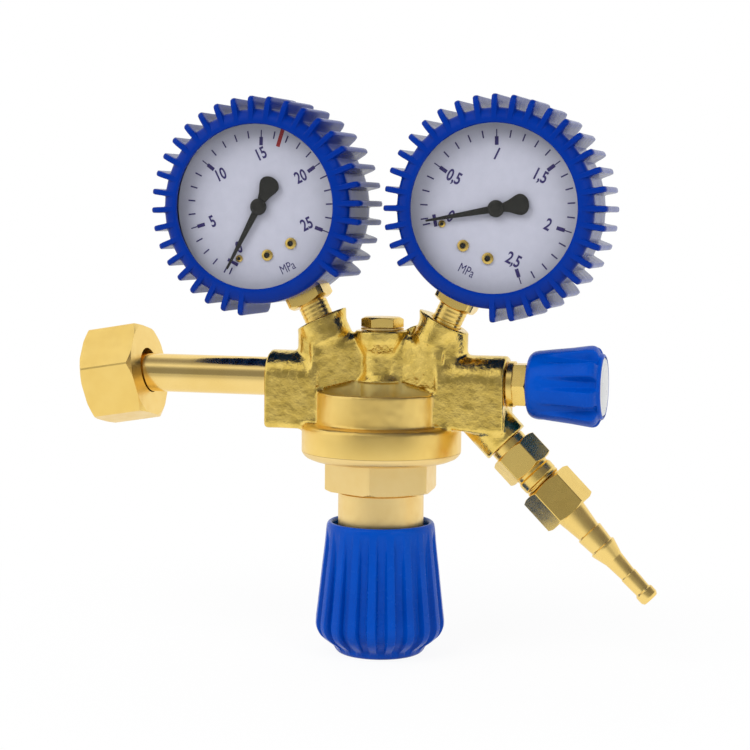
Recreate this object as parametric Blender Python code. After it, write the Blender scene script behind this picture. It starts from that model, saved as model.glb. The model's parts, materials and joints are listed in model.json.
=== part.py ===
"""Bottle gas regulator: inlet nut, forged body, two booted gauges, spring bonnet, knob, outlet valve.

Row frame in metres: the origin is on the inlet gasket's face, +X runs along the inlet pipe into the body,
+Z is up the valve column and -Y is the side that the dials face.
"""

import math

import bmesh
import bpy
from mathutils import Matrix, Vector

MM = 0.001
FIT = 0.3 * MM  # gap left between two seated pieces
SLACK = 0.5 * MM  # gap round a piece that slides or turns
OVERSHOOT = 1.0 * MM  # how far a cut runs past the face that it opens
STEPS = 24  # facets round a large turned piece
FINE_STEPS = 12  # facets round a small turned piece
DRILL_STEPS = 6  # facets round a drilling or a pin
BOSS_STEPS = 18  # facets round a boss of the forging
HOUSING_STEPS = 30  # facets round the diaphragm housing and the gauges

# Inlet union
INLET_REACH = 98.0 * MM  # gasket face to the valve column's axis
GASKET_DIAMETER = 18.0 * MM
GASKET_BORE = 8.0 * MM
GASKET_THICKNESS = 2.0 * MM
COLLAR_DIAMETER = 21.4 * MM
COLLAR_LENGTH = 3.0 * MM
PIPE_DIAMETER = 13.7 * MM
PIPE_BORE = 6.0 * MM
PIPE_SOCKET_DEPTH = 10.0 * MM
FILTER_LENGTH = 9.0 * MM
NUT_FLATS = 32.0 * MM
NUT_LENGTH = 20.0 * MM
NUT_WALL = 3.5 * MM
NUT_BORE = 24.2 * MM
NUT_PLAY = 2.5 * MM  # the nut's hole over the pipe's diameter
NUT_TILT = math.radians(9.5)  # the loose nut hangs with its open end low
NUT_CROSSING = 6.0 * MM  # gasket face to where the nut's axis crosses the pipe's
NUT_CHAMFER = 1.2 * MM
NUT_TURN = math.radians(-6.0)

# Forged body
BAR_HALF = 9.6 * MM  # half the thickness of the end blocks, and the radius of their tops
BAR_CORNER = 2.0 * MM
INLET_BLOCK_END = 40.5 * MM
INLET_BLOCK_FLOOR = 17.5 * MM
OUTLET_BLOCK_END = 44.9 * MM
OUTLET_BLOCK_FLOOR = 17.0 * MM
WEB_HALF = 6.6 * MM
WEB_TOP = 16.5 * MM
RIB_HALF = 4.8 * MM
NECK_RADIUS = 9.4 * MM
NECK_TOP = 17.4 * MM
CORE_RADIUS = 8.0 * MM
TROUGH_TOP = 0.3 * MM
BORE_RADIUS = 5.6 * MM  # high pressure chamber
BORE_FLOOR = -7.0 * MM
DRILL_RADIUS = 1.5 * MM
FEED_RADIUS = 2.5 * MM

# Diaphragm housing
RING_RADIUS = 22.8 * MM
RING_WALL = 2.4 * MM
RING_TOP = -5.2 * MM
TROUGH_FLOOR = -13.0 * MM
CUP_RADIUS = 28.0 * MM
CUP_WALL = 3.2 * MM
CUP_TOP = -15.3 * MM
CUP_BOTTOM = -24.6 * MM
CUP_ROUND = 1.6 * MM
LEDGE_WIDTH = 5.3 * MM  # seat that the diaphragm's rim is clamped on
CHAMBER_ROOF = -16.3 * MM
CHAMBER_DEPTH = 2.6 * MM

# Valve column
PLUG_FLATS = 13.0 * MM
PLUG_HEAD = 3.5 * MM
PLUG_SHANK = 6.5 * MM
PLUG_GUIDE_DEPTH = 4.5 * MM
PLUG_HEX_TURN = math.radians(-15.0)
WASHER_THICKNESS = 0.6 * MM
SEAT_HEIGHT = 3.2 * MM
SEAT_ORIFICE = 2.0 * MM
POPPET_RADIUS = 4.4 * MM
POPPET_HEIGHT = 8.0 * MM
POPPET_STEM_RADIUS = 1.5 * MM
PIN_RADIUS = 1.2 * MM
POPPET_WIRE = 0.5 * MM
POPPET_TURNS = 3.5
VALVE_LIFT = 0.8 * MM
DIAPHRAGM_THICKNESS = 1.6 * MM
SLIP_RING_THICKNESS = 0.8 * MM
PLATE_PLAY = 2.0 * MM  # plate to the chamber's wall
PLATE_THICKNESS = 2.5 * MM
SPIGOT_HEIGHT = 2.4 * MM

# Spring bonnet
SHOULDER_STEP = 0.1 * MM  # how far the shoulder stands in from the cup
SHOULDER_RADIUS = CUP_RADIUS - SHOULDER_STEP
SHOULDER_DROP = 3.2 * MM
BONNET_FLATS = 36.0 * MM
BONNET_HEX_BOTTOM = -38.6 * MM
BONNET_HEX_TURN = math.radians(3.7)
TUBE_RADIUS = 15.05 * MM
TUBE_BOTTOM = -64.0 * MM
TUBE_FLOOR = 5.5 * MM
SPRING_BORE = 12.5 * MM
MAIN_WIRE = 1.5 * MM
MAIN_COIL_RADIUS = 9.2 * MM
MAIN_SPRING_LENGTH = 23.1 * MM
MAIN_TURNS = 4.5
BUTTON_THICKNESS = 4.2 * MM

# Adjusting screw and knob
SCREW_RADIUS = 4.8 * MM
SCREW_TRAVEL = 6.0 * MM  # from slack spring to fully in
KNOB_RIM_TOP = -49.5 * MM
KNOB_RIM_RADIUS = 18.9 * MM
KNOB_RIM_WALL = 2.2 * MM
KNOB_WIDE_RADIUS = 23.0 * MM
KNOB_WIDE_HEIGHT = -86.0 * MM
KNOB_FOOT_RADIUS = 15.5 * MM
KNOB_BOTTOM = -96.5 * MM
KNOB_FLOOR = 5.0 * MM
KNOB_HUB_RADIUS = 8.5 * MM
KNOB_HUB_GAP = 2.0 * MM  # hub to the bonnet with the screw fully in
SCREW_SOCKET = 17.0 * MM
KNOB_RIBS = 20
KNOB_GROOVE = 1.5 * MM
KNOB_WALL = 2.0 * MM
KNOB_BAND = 3.5 * MM
KNOB_TURN = math.radians(7.3)

# Gauges
STEM_TILT = math.radians(26.0)
STEM_FOOT = 12.8 * MM  # valve column's axis to the foot of a gauge stem's axis
STEM_BOSS_RADIUS = 8.6 * MM
STEM_BOSS_REACH = 23.0 * MM
STEM_THREAD_RADIUS = 5.2 * MM
STEM_THREAD_LENGTH = 8.0 * MM
STEM_NECK = 6.5 * MM  # shows between the boss and the square
STEM_FLATS = 14.0 * MM
GAUGE_HEIGHT = 66.7 * MM  # foot of the stem's axis to the dial's centre
CASE_RADIUS = 31.4 * MM
CASE_WALL = 0.8 * MM
CASE_BACK = -12.5 * MM
CASE_FRONT = 13.0 * MM
DIAL_PLANE = 9.0 * MM
DIAL_THICKNESS = 0.6 * MM
LENS_THICKNESS = 2.0 * MM
BOOT_WALL = 2.0 * MM
BOOT_LIP = 1.2 * MM
BOOT_WINDOW = 28.4 * MM
BOOT_BACK_WINDOW = 25.0 * MM
BOOT_BEVEL = 3.0 * MM
FIN_PITCHES = 36
FIN_GAP = 2  # pitches left bare on each side of the stem
FIN_WIDTH = 2.2 * MM
FIN_TURN = math.radians(-3.8)  # boot sits turned on its case
FIN_FRONT_HEIGHT = 4.4 * MM
FIN_BACK_HEIGHT = 4.6 * MM
BLOCK_WIDTH = 12.0 * MM  # gauge socket inside the case
BLOCK_DEPTH = 10.0 * MM
BLOCK_TOP = -17.0 * MM
BOURDON_RADIUS = 21.0 * MM
BOURDON_WIDTH = 2.4 * MM
BOURDON_DEPTH = 7.0 * MM
BOURDON_PLANE = -3.0 * MM
BOURDON_END = math.radians(-12.0)
FRAME_PLATE = 1.2 * MM
FRAME_LOW = 2.4 * MM
FRAME_HIGH = 7.0 * MM
FRAME_WIDTH = 18.0 * MM
FRAME_TOP = 9.0 * MM
PILLAR_RADIUS = 1.3 * MM
ARBOR_RADIUS = 0.7 * MM
PINION_RADIUS = 1.5 * MM
SECTOR_DISTANCE = 11.0 * MM
SECTOR_PIN_RADIUS = 0.9 * MM
SECTOR_THICKNESS = 1.2 * MM
SECTOR_HALF_ANGLE = math.radians(28.0)
POINTER_SWEEP = math.radians(261.0)
POINTER_PLANE = 11.0 * MM
POINTER_THICKNESS = 0.6 * MM
POINTER_LENGTH = 24.6 * MM
POINTER_TAIL = 11.4 * MM
POINTER_TAIL_WIDTH = 7.1 * MM
POINTER_TIP_WIDTH = 0.7 * MM
POINTER_WAIST = 2.5 * MM  # needle's width at the hub
POINTER_HUB_RADIUS = 2.9 * MM
POINTER_HUB_HEIGHT = 1.4 * MM
POINTER_ZERO = math.radians(-126.0)  # from the dial's top, clockwise positive

# Relief valve on the back
RELIEF_HEIGHT = 13.0 * MM
RELIEF_BOSS_RADIUS = 6.4 * MM
RELIEF_BOSS_END = 12.0 * MM
RELIEF_BORE = 4.0 * MM
RELIEF_FLOOR = 2.0 * MM
RELIEF_CAP_FLATS = 11.0 * MM
RELIEF_CAP_LENGTH = 5.0 * MM
RELIEF_DISC = 2.6 * MM
RELIEF_WIRE = 0.5 * MM
RELIEF_SHANK = 3.0 * MM
RELIEF_TURNS = 1.6

# Outlet valve
VALVE_SEAT = 22.0 * MM  # valve column's axis to the valve's seat
VALVE_BORE = 5.5 * MM
VALVE_PORT = 2.0 * MM
VALVE_PLUG_LENGTH = 6.5 * MM
VALVE_BONNET_REACH = 8.0 * MM
VALVE_COLLAR_RADIUS = 7.9 * MM
VALVE_COLLAR_LENGTH = 2.2 * MM
VALVE_HEX_FLATS = 14.0 * MM
VALVE_HEX_LENGTH = 4.5 * MM
SPINDLE_RADIUS = 3.0 * MM
SPINDLE_GRIP = 18.0 * MM
SEAL_WIRE = 0.7 * MM
WHEEL_LENGTH = 26.0 * MM
WHEEL_INNER_RADIUS = 11.7 * MM
WHEEL_OUTER_RADIUS = 14.2 * MM
WHEEL_LOBES = 8
WHEEL_GROOVE = 1.5 * MM
WHEEL_ROUND = 2.2 * MM
WHEEL_CAP_RADIUS = 10.0 * MM
WHEEL_CAP_THICKNESS = 1.8 * MM
WHEEL_CAP_CROWN = 0.7 * MM
WHEEL_TURN = math.radians(14.5)

# Outlet
OUTLET_SLOPE = math.radians(45.5)
OUTLET_FOOT = 24.7 * MM  # valve column's axis to where the outlet's axis starts
OUTLET_BOSS_RADIUS = 8.4 * MM
OUTLET_BOSS_REACH = 28.5 * MM
OUTLET_BORE = 3.0 * MM
ADAPTER_SHANK_RADIUS = 5.0 * MM
ADAPTER_SHANK = 9.5 * MM
ADAPTER_NECK = 2.5 * MM
ADAPTER_FLATS = 16.0 * MM
ADAPTER_HEX = 9.9 * MM
ADAPTER_SPIGOT = 12.9 * MM
ADAPTER_SPIGOT_RADIUS = 6.8 * MM
UNION_STANDOFF = 6.4 * MM
UNION_FLATS = 17.5 * MM
UNION_LENGTH = 13.7 * MM
UNION_WALL = 3.0 * MM
BARB_ROOT_RADIUS = 5.5 * MM
BARB_STEP_ONE = 8.6 * MM  # steps and tip, from the union nut's end
BARB_STEP_TWO = 15.1 * MM
BARB_CONE_END = 21.1 * MM
BARB_STEP_THREE = 28.1 * MM
BARB_STEP_FOUR = 35.4 * MM
BARB_LENGTH = 39.5 * MM
BARB_LARGE_RADIUS = 4.3 * MM
BARB_SMALL_RADIUS = 2.8 * MM
BARB_RIDGE = 0.6 * MM
BARB_NOSE_ROUND = 1.0 * MM
BARB_BORE = 1.6 * MM
ADAPTER_HEX_TURN = math.radians(27.0)
UNION_HEX_TURN = math.radians(15.0)
HEX_CHAMFER = 0.8 * MM

for old in list(bpy.data.objects):
    bpy.data.objects.remove(old, do_unlink=True)


# Mesh helpers

def material(name, colour, roughness, metallic):
    """A Principled BSDF with one colour."""
    mat = bpy.data.materials.new(name)
    mat.use_nodes = True
    shader = mat.node_tree.nodes["Principled BSDF"]
    shader.inputs["Base Color"].default_value = (*colour, 1.0)
    shader.inputs["Roughness"].default_value = roughness
    shader.inputs["Metallic"].default_value = metallic
    return mat


def frame(name, matrix):
    """An empty that carries the pieces on one axis."""
    empty = bpy.data.objects.new(name, None)
    empty.empty_display_size = 10 * MM
    empty.matrix_world = matrix
    bpy.context.collection.objects.link(empty)
    return empty


def place(name, bm, mat, parent, turn=0.0):
    """Turn a mesh into a named object that sits on its parent's axis."""
    bmesh.ops.recalc_face_normals(bm, faces=bm.faces)
    mesh = bpy.data.meshes.new(name)
    bm.to_mesh(mesh)
    bm.free()
    mesh.materials.append(mat)
    mesh.shade_smooth()
    mesh.set_sharp_from_angle(angle=math.radians(30.0))
    obj = bpy.data.objects.new(name, mesh)
    obj.parent = parent
    obj.rotation_euler = (0.0, 0.0, turn)
    bpy.context.collection.objects.link(obj)
    return obj


def turned(profile, steps=STEPS):
    """Spin a closed (radius, height) outline round Z; an outline that ends on the axis stays open there."""
    bm = bmesh.new()
    verts = [bm.verts.new((radius, 0.0, height)) for radius, height in profile]
    pairs = list(zip(verts, verts[1:]))
    if profile[0][0] > 0.0:
        pairs.append((verts[-1], verts[0]))
    edges = [bm.edges.new(pair) for pair in pairs]
    bmesh.ops.spin(bm, geom=verts + edges, cent=(0.0, 0.0, 0.0), axis=(0.0, 0.0, 1.0),
                   angle=2.0 * math.pi, steps=steps, use_merge=True)
    bmesh.ops.remove_doubles(bm, verts=bm.verts, dist=0.001 * MM)
    bmesh.ops.recalc_face_normals(bm, faces=bm.faces)
    return bm


def rod(radius, low, high, steps=FINE_STEPS):
    """A plain cylinder on Z."""
    return turned([(0.0, low), (radius, low), (radius, high), (0.0, high)], steps)


def tube(outer, inner, low, high, steps=FINE_STEPS):
    """A plain pipe on Z."""
    return turned([(inner, low), (outer, low), (outer, high), (inner, high)], steps)


def loft(rings, loop=False):
    """Skin rings with the same number of points; the ends are capped unless the rings close on themselves."""
    bm = bmesh.new()
    rows = [[bm.verts.new(point) for point in ring] for ring in rings]
    count = len(rows[0])
    spans = list(zip(rows, rows[1:]))
    if loop:
        spans.append((rows[-1], rows[0]))
    else:
        bm.faces.new(rows[0])
        bm.faces.new(rows[-1])
    for low, high in spans:
        for i in range(count):
            j = (i + 1) % count
            bm.faces.new((low[i], low[j], high[j], high[i]))
    bmesh.ops.recalc_face_normals(bm, faces=bm.faces)
    return bm


def extruded(outline, low, high):
    """A flat outline of (x, y) points made into a solid along Z."""
    return loft([[(x, y, height) for x, y in outline] for height in (low, high)])


def polygon(sides, flats, turn=0.0):
    """Corners of a regular bar with the given width across flats."""
    radius = flats / 2.0 / math.cos(math.pi / sides)
    angles = [turn + 2.0 * math.pi * (i + 0.5) / sides for i in range(sides)]
    return [(radius * math.cos(a), radius * math.sin(a)) for a in angles]


def arc(centre, radius, start, end, count):
    """Points of a circular arc, both ends included."""
    steps = [start + (end - start) * i / (count - 1) for i in range(count)]
    return [(centre[0] + radius * math.cos(a), centre[1] + radius * math.sin(a)) for a in steps]


def moved(bm, matrix):
    """Shift or turn a mesh before it is joined to another."""
    bmesh.ops.transform(bm, matrix=matrix, verts=bm.verts)
    return bm


def boolean(base, tool, operation):
    """Join, cut or intersect two closed meshes."""
    pair = []
    for bm in (base, tool):
        mesh = bpy.data.meshes.new("solid")
        bmesh.ops.recalc_face_normals(bm, faces=bm.faces)
        bm.to_mesh(mesh)
        bm.free()
        obj = bpy.data.objects.new("solid", mesh)
        bpy.context.collection.objects.link(obj)
        pair.append(obj)
    modifier = pair[0].modifiers.new("solid", "BOOLEAN")
    modifier.operation = operation
    modifier.solver = "EXACT"
    modifier.object = pair[1]
    depsgraph = bpy.context.evaluated_depsgraph_get()
    depsgraph.update()
    result = bmesh.new()
    result.from_object(pair[0], depsgraph)
    for obj in pair:
        mesh = obj.data
        bpy.data.objects.remove(obj, do_unlink=True)
        bpy.data.meshes.remove(mesh)
    bmesh.ops.remove_doubles(result, verts=result.verts, dist=0.001 * MM)
    bmesh.ops.dissolve_degenerate(result, edges=result.edges, dist=0.001 * MM)
    return result


def joined(base, *tools):
    for tool in tools:
        base = boolean(base, tool, "UNION")
    return base


def cut(base, *tools):
    for tool in tools:
        base = boolean(base, tool, "DIFFERENCE")
    return base


def block(size, centre):
    """A rectangular block."""
    bm = bmesh.new()
    bmesh.ops.create_cube(bm, size=1.0)
    bmesh.ops.scale(bm, vec=Vector(size), verts=bm.verts)
    bmesh.ops.translate(bm, vec=Vector(centre), verts=bm.verts)
    return bm


def hex_bar(flats, low, high, chamfer_low=0.0, chamfer_high=0.0, turn=0.0):
    """A hexagon bar on Z whose chamfered ends are turned off at 30 degrees."""
    bar = extruded(polygon(6, flats, turn), low, high)
    if chamfer_low <= 0.0 and chamfer_high <= 0.0:
        return bar
    corner = flats / 2.0 / math.cos(math.pi / 6.0) + OVERSHOOT
    slope = math.tan(math.radians(30.0))
    spare = OVERSHOOT * slope
    below, above = low - OVERSHOOT, high + OVERSHOOT
    profile = [(0.0, below), (corner, below), (corner, above), (0.0, above)]
    face = flats / 2.0 / math.cos(math.pi / 6.0)
    if chamfer_low > 0.0:
        profile[1:2] = [(face - (chamfer_low + OVERSHOOT) / slope, below),
                        (corner, low + chamfer_low + spare)]
    if chamfer_high > 0.0:
        profile[-2:-1] = [(corner, high - chamfer_high - spare),
                          (face - (chamfer_high + OVERSHOOT) / slope, above)]
    return boolean(bar, turned(profile, STEPS), "INTERSECT")


def coil(radius, wire, low, length, turns, sides=4, points=10):
    """A wire wound round Z; the wire's two ends lie flat on the end planes."""
    rise = length - 2.0 * wire
    count = int(turns * points)
    rings = []
    for i in range(count + 1):
        angle = 2.0 * math.pi * turns * i / count
        height = low + wire + rise * i / count
        ring = []
        for k in range(sides):
            lean = 2.0 * math.pi * k / sides
            reach = radius + wire * math.cos(lean)
            ring.append((reach * math.cos(angle), reach * math.sin(angle), height + wire * math.sin(lean)))
        rings.append(ring)
    return loft(rings)


# Axes that carry the pieces

COLUMN = Matrix.Translation((INLET_REACH, 0.0, 0.0))
ALONG_X = Matrix.Rotation(math.radians(90.0), 4, "Y")
PIPE_AXIS = ALONG_X
NUT_AXIS = (Matrix.Translation((NUT_CROSSING, 0.0, 0.0))
            @ Matrix.Rotation(math.radians(90.0) - NUT_TILT, 4, "Y"))
VALVE_AXIS = COLUMN @ ALONG_X
OUTLET_LOCAL = (Matrix.Translation((OUTLET_FOOT, 0.0, 0.0))
                @ Matrix.Rotation(math.radians(90.0) + OUTLET_SLOPE, 4, "Y"))
RELIEF_LOCAL = (Matrix.Translation((STEM_FOOT, 0.0, RELIEF_HEIGHT))
                @ Matrix.Rotation(math.radians(-90.0), 4, "X"))


def stem_local(side):
    """A gauge stem's axis, seen from the valve column; side is -1 at the inlet and +1 at the outlet."""
    return (Matrix.Translation((side * STEM_FOOT, 0.0, 0.0))
            @ Matrix.Rotation(side * STEM_TILT, 4, "Y"))


# Sizes that several pieces share

RING_INNER = RING_RADIUS - RING_WALL
CUP_INNER = CUP_RADIUS - CUP_WALL
CHAMBER_RADIUS = CUP_INNER - LEDGE_WIDTH
PLATE_RADIUS = CHAMBER_RADIUS - PLATE_PLAY
LEDGE = CHAMBER_ROOF - CHAMBER_DEPTH
DIAPHRAGM_TOP = LEDGE - FIT
DIAPHRAGM_BOTTOM = DIAPHRAGM_TOP - DIAPHRAGM_THICKNESS
SLIP_RING_TOP = DIAPHRAGM_BOTTOM - FIT
BONNET_TOP = SLIP_RING_TOP - SLIP_RING_THICKNESS - FIT
PLATE_TOP = DIAPHRAGM_BOTTOM - FIT
PLATE_BOTTOM = PLATE_TOP - PLATE_THICKNESS
SPRING_TOP = PLATE_BOTTOM - FIT
SPRING_BOTTOM = SPRING_TOP - MAIN_SPRING_LENGTH
SPRING_SPIGOT = MAIN_COIL_RADIUS - MAIN_WIRE - SLACK
BUTTON_TOP = SPRING_BOTTOM - FIT
BUTTON_BOTTOM = BUTTON_TOP - BUTTON_THICKNESS
SCREW_TOP = BUTTON_BOTTOM - FIT
KNOB_HUB_TOP = TUBE_BOTTOM - SCREW_TRAVEL - KNOB_HUB_GAP
SEAT_BOTTOM = BORE_FLOOR + FIT
SEAT_TOP = SEAT_BOTTOM + SEAT_HEIGHT
POPPET_BOTTOM = SEAT_TOP + FIT
POPPET_TOP = POPPET_BOTTOM + POPPET_HEIGHT
HEAD_BOTTOM = NECK_TOP + FIT + WASHER_THICKNESS + FIT
SHANK_BOTTOM = HEAD_BOTTOM - PLUG_SHANK
PIPE_RADIUS = PIPE_DIAMETER / 2.0
PIPE_END = INLET_REACH - INLET_BLOCK_END + PIPE_SOCKET_DEPTH
COLLAR_FRONT = GASKET_THICKNESS + FIT
COLLAR_BACK = COLLAR_FRONT + COLLAR_LENGTH


# Inlet union

def inlet_gasket():
    return tube(GASKET_DIAMETER / 2.0, GASKET_BORE / 2.0, 0.0, GASKET_THICKNESS)


def inlet_pipe():
    """Nipple: a collar that the nut pulls on, and a plain pipe that goes into the body."""
    bore = PIPE_BORE / 2.0
    edge = 0.6 * MM
    collar = COLLAR_DIAMETER / 2.0
    return turned([
        (bore, COLLAR_FRONT), (collar - edge, COLLAR_FRONT), (collar, COLLAR_FRONT + edge),
        (collar, COLLAR_BACK), (PIPE_RADIUS, COLLAR_BACK),
        (PIPE_RADIUS, PIPE_END - FIT - edge), (PIPE_RADIUS - edge, PIPE_END - FIT), (bore, PIPE_END - FIT)])


def inlet_filter():
    """Sintered plug inside the nipple's bore."""
    low = COLLAR_BACK
    radius = PIPE_BORE / 2.0 - FIT
    return turned([(0.0, low), (radius * 0.6, low), (radius, low + radius), (radius, low + FILTER_LENGTH),
                   (0.0, low + FILTER_LENGTH)], FINE_STEPS)


def inlet_nut():
    """Loose hexagon nut; its inner face clears the collar's edge at the angle where it hangs."""
    inner_face = ((COLLAR_BACK - NUT_CROSSING) * math.cos(NUT_TILT)
                  + COLLAR_DIAMETER / 2.0 * math.sin(NUT_TILT) + FIT)
    back = inner_face + NUT_WALL
    mouth = back - NUT_LENGTH
    hexagon = hex_bar(NUT_FLATS, mouth, back, NUT_CHAMFER, NUT_CHAMFER)
    bore = NUT_BORE / 2.0
    lead = 1.0 * MM
    hole = (PIPE_DIAMETER + NUT_PLAY) / 2.0
    opening = turned([
        (0.0, mouth - OVERSHOOT), (bore + lead + OVERSHOOT, mouth - OVERSHOOT), (bore, mouth + lead),
        (bore, inner_face), (hole, inner_face), (hole, back + OVERSHOOT), (0.0, back + OVERSHOOT)])
    return cut(hexagon, opening)


# Forged body

def arched_bar(half, spring_line, floor, corner, low, high):
    """A bar along X with a round top and a flat floor."""
    outline = arc((0.0, spring_line), half, 0.0, math.pi, 9)
    outline += arc((corner - half, corner - floor), corner, math.pi, 1.5 * math.pi, 3)
    outline += arc((half - corner, corner - floor), corner, 1.5 * math.pi, 2.0 * math.pi, 3)
    return moved(extruded([(-z, y) for y, z in outline], low, high), ALONG_X)


def gauge_boss(side):
    """A tilted boss for a gauge stem, carried down to the bar by an upright column."""
    tilted = moved(rod(STEM_BOSS_RADIUS, STEM_BOSS_RADIUS, STEM_BOSS_REACH, BOSS_STEPS), stem_local(side))
    top_x = STEM_FOOT + STEM_BOSS_REACH * math.sin(STEM_TILT)
    top_z = STEM_BOSS_REACH * math.cos(STEM_TILT)
    column_x = top_x - STEM_BOSS_RADIUS * (1.0 - math.cos(STEM_TILT))
    column = rod(STEM_BOSS_RADIUS - 0.05 * MM, -BAR_CORNER, top_z, BOSS_STEPS)
    moved(column, Matrix.Translation((side * column_x, 0.0, 0.0)))
    for vert in column.verts:
        if vert.co.z > 0.0:
            slope = top_z - (side * vert.co.x - top_x) * math.tan(STEM_TILT)
            vert.co.z = min(slope, top_z - BAR_CORNER) - 0.1 * MM
    return joined(tilted, column)


def housing():
    """The turned cup that holds the diaphragm, with a raised ring on its roof."""
    edge = 0.8 * MM
    fillet = 1.2 * MM
    lip = [(CUP_RADIUS - CUP_ROUND + x, CUP_TOP - CUP_ROUND + z)
           for x, z in arc((0.0, 0.0), CUP_ROUND, 0.5 * math.pi, 0.0, 3)]
    return turned([
        (0.0, RING_TOP), (RING_RADIUS - edge, RING_TOP), (RING_RADIUS, RING_TOP - edge),
        (RING_RADIUS, CUP_TOP + fillet), (RING_RADIUS + fillet, CUP_TOP), *lip,
        (CUP_RADIUS, CUP_BOTTOM), (CUP_INNER, CUP_BOTTOM), (CUP_INNER, LEDGE), (CHAMBER_RADIUS, LEDGE),
        (CHAMBER_RADIUS, CHAMBER_ROOF), (0.0, CHAMBER_ROOF)], HOUSING_STEPS)


def trough(side):
    """The turned recess inside the ring, on one side of the middle rib; its cone arches the bar's edge."""
    recess = turned([
        (CORE_RADIUS, TROUGH_FLOOR), (RING_INNER, TROUGH_FLOOR), (RING_INNER, RING_TOP + OVERSHOOT),
        (NECK_RADIUS + OVERSHOOT, TROUGH_TOP), (CORE_RADIUS, TROUGH_TOP)], HOUSING_STEPS)
    reach = 2.0 * RING_RADIUS
    keep = block((2.0 * reach, reach, 2.0 * reach), (0.0, side * (RIB_HALF + reach / 2.0), 0.0))
    return boolean(recess, keep, "INTERSECT")


def body_outside():
    neck = turned([(0.0, TROUGH_FLOOR - OVERSHOOT), (NECK_RADIUS, TROUGH_FLOOR - OVERSHOOT),
                   (NECK_RADIUS, NECK_TOP - FIT), (NECK_RADIUS - 2.0 * FIT, NECK_TOP), (0.0, NECK_TOP)])
    boss_x = STEM_FOOT + STEM_BOSS_REACH * math.sin(STEM_TILT)
    web = arched_bar(WEB_HALF, WEB_TOP - WEB_HALF, -TROUGH_FLOOR + OVERSHOOT, BAR_CORNER / 2.0,
                     -boss_x, boss_x)
    inlet_block = arched_bar(BAR_HALF, 0.0, INLET_BLOCK_FLOOR, BAR_CORNER,
                             -INLET_BLOCK_END, -RING_RADIUS - OVERSHOOT)
    outlet_block = arched_bar(BAR_HALF, 0.0, OUTLET_BLOCK_FLOOR, BAR_CORNER,
                              RING_RADIUS + OVERSHOOT, OUTLET_BLOCK_END)
    outlet_boss = moved(rod(OUTLET_BOSS_RADIUS, 0.0, OUTLET_BOSS_REACH, BOSS_STEPS), OUTLET_LOCAL)
    relief_boss = moved(rod(RELIEF_BOSS_RADIUS, 0.0, RELIEF_BOSS_END, FINE_STEPS), RELIEF_LOCAL)
    return joined(housing(), inlet_block, outlet_block, web, neck, gauge_boss(-1), gauge_boss(1),
                  outlet_boss, relief_boss)


def body_passages():
    """Bores and drillings, as cutters."""
    tap_floor = STEM_BOSS_REACH - STEM_THREAD_LENGTH - FIT
    socket_floor = PIPE_SOCKET_DEPTH - INLET_BLOCK_END
    cutters = [
        rod(BORE_RADIUS, BORE_FLOOR, NECK_TOP + OVERSHOOT),
        rod(PIN_RADIUS + SLACK, CHAMBER_ROOF - OVERSHOOT, BORE_FLOOR + OVERSHOOT, DRILL_STEPS),
        moved(rod(PIPE_RADIUS + FIT, -INLET_BLOCK_END - OVERSHOOT, socket_floor, STEPS), ALONG_X),
        moved(rod(FEED_RADIUS, socket_floor - OVERSHOOT, OVERSHOOT - BORE_RADIUS, DRILL_STEPS), ALONG_X),
        moved(rod(DRILL_RADIUS, CHAMBER_ROOF - OVERSHOOT, RELIEF_HEIGHT, DRILL_STEPS),
              Matrix.Translation((STEM_FOOT, 0.0, 0.0))),
        moved(rod(VALVE_PORT, STEM_FOOT, VALVE_SEAT + OVERSHOOT, DRILL_STEPS), ALONG_X),
        moved(rod(VALVE_BORE, VALVE_SEAT, OUTLET_BLOCK_END + OVERSHOOT), ALONG_X),
        moved(rod(OUTLET_BORE, OUTLET_BORE, OUTLET_BOSS_REACH + OVERSHOOT, DRILL_STEPS), OUTLET_LOCAL),
        moved(rod(ADAPTER_SHANK_RADIUS + FIT, OUTLET_BOSS_REACH - ADAPTER_SHANK - FIT,
                  OUTLET_BOSS_REACH + OVERSHOOT), OUTLET_LOCAL),
        moved(rod(RELIEF_BORE, RELIEF_FLOOR, RELIEF_BOSS_END + OVERSHOOT), RELIEF_LOCAL),
        moved(rod(DRILL_RADIUS, 0.0, RELIEF_FLOOR + OVERSHOOT, DRILL_STEPS), RELIEF_LOCAL)]
    for side in (-1, 1):
        cutters.append(moved(rod(STEM_THREAD_RADIUS + FIT, tap_floor, STEM_BOSS_REACH + OVERSHOOT),
                             stem_local(side)))
        cutters.append(moved(rod(DRILL_RADIUS, 0.0, tap_floor + OVERSHOOT, DRILL_STEPS), stem_local(side)))
    return cutters


def body():
    return cut(body_outside(), trough(-1), trough(1), *body_passages())


# Valve column, from the plug down to the diaphragm

def plug_washer():
    return tube(PLUG_FLATS / 2.0 + OVERSHOOT, BORE_RADIUS, NECK_TOP + FIT, NECK_TOP + FIT + WASHER_THICKNESS)


def top_plug():
    """Hexagon plug; a blind hole in its shank guides the poppet's stem."""
    head = hex_bar(PLUG_FLATS, HEAD_BOTTOM, HEAD_BOTTOM + PLUG_HEAD, 0.0, HEX_CHAMFER, PLUG_HEX_TURN)
    shank = rod(BORE_RADIUS - FIT, SHANK_BOTTOM, HEAD_BOTTOM + OVERSHOOT)
    guide = rod(POPPET_STEM_RADIUS + SLACK, SHANK_BOTTOM - OVERSHOOT, SHANK_BOTTOM + PLUG_GUIDE_DEPTH,
                DRILL_STEPS)
    return cut(joined(head, shank), guide)


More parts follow.
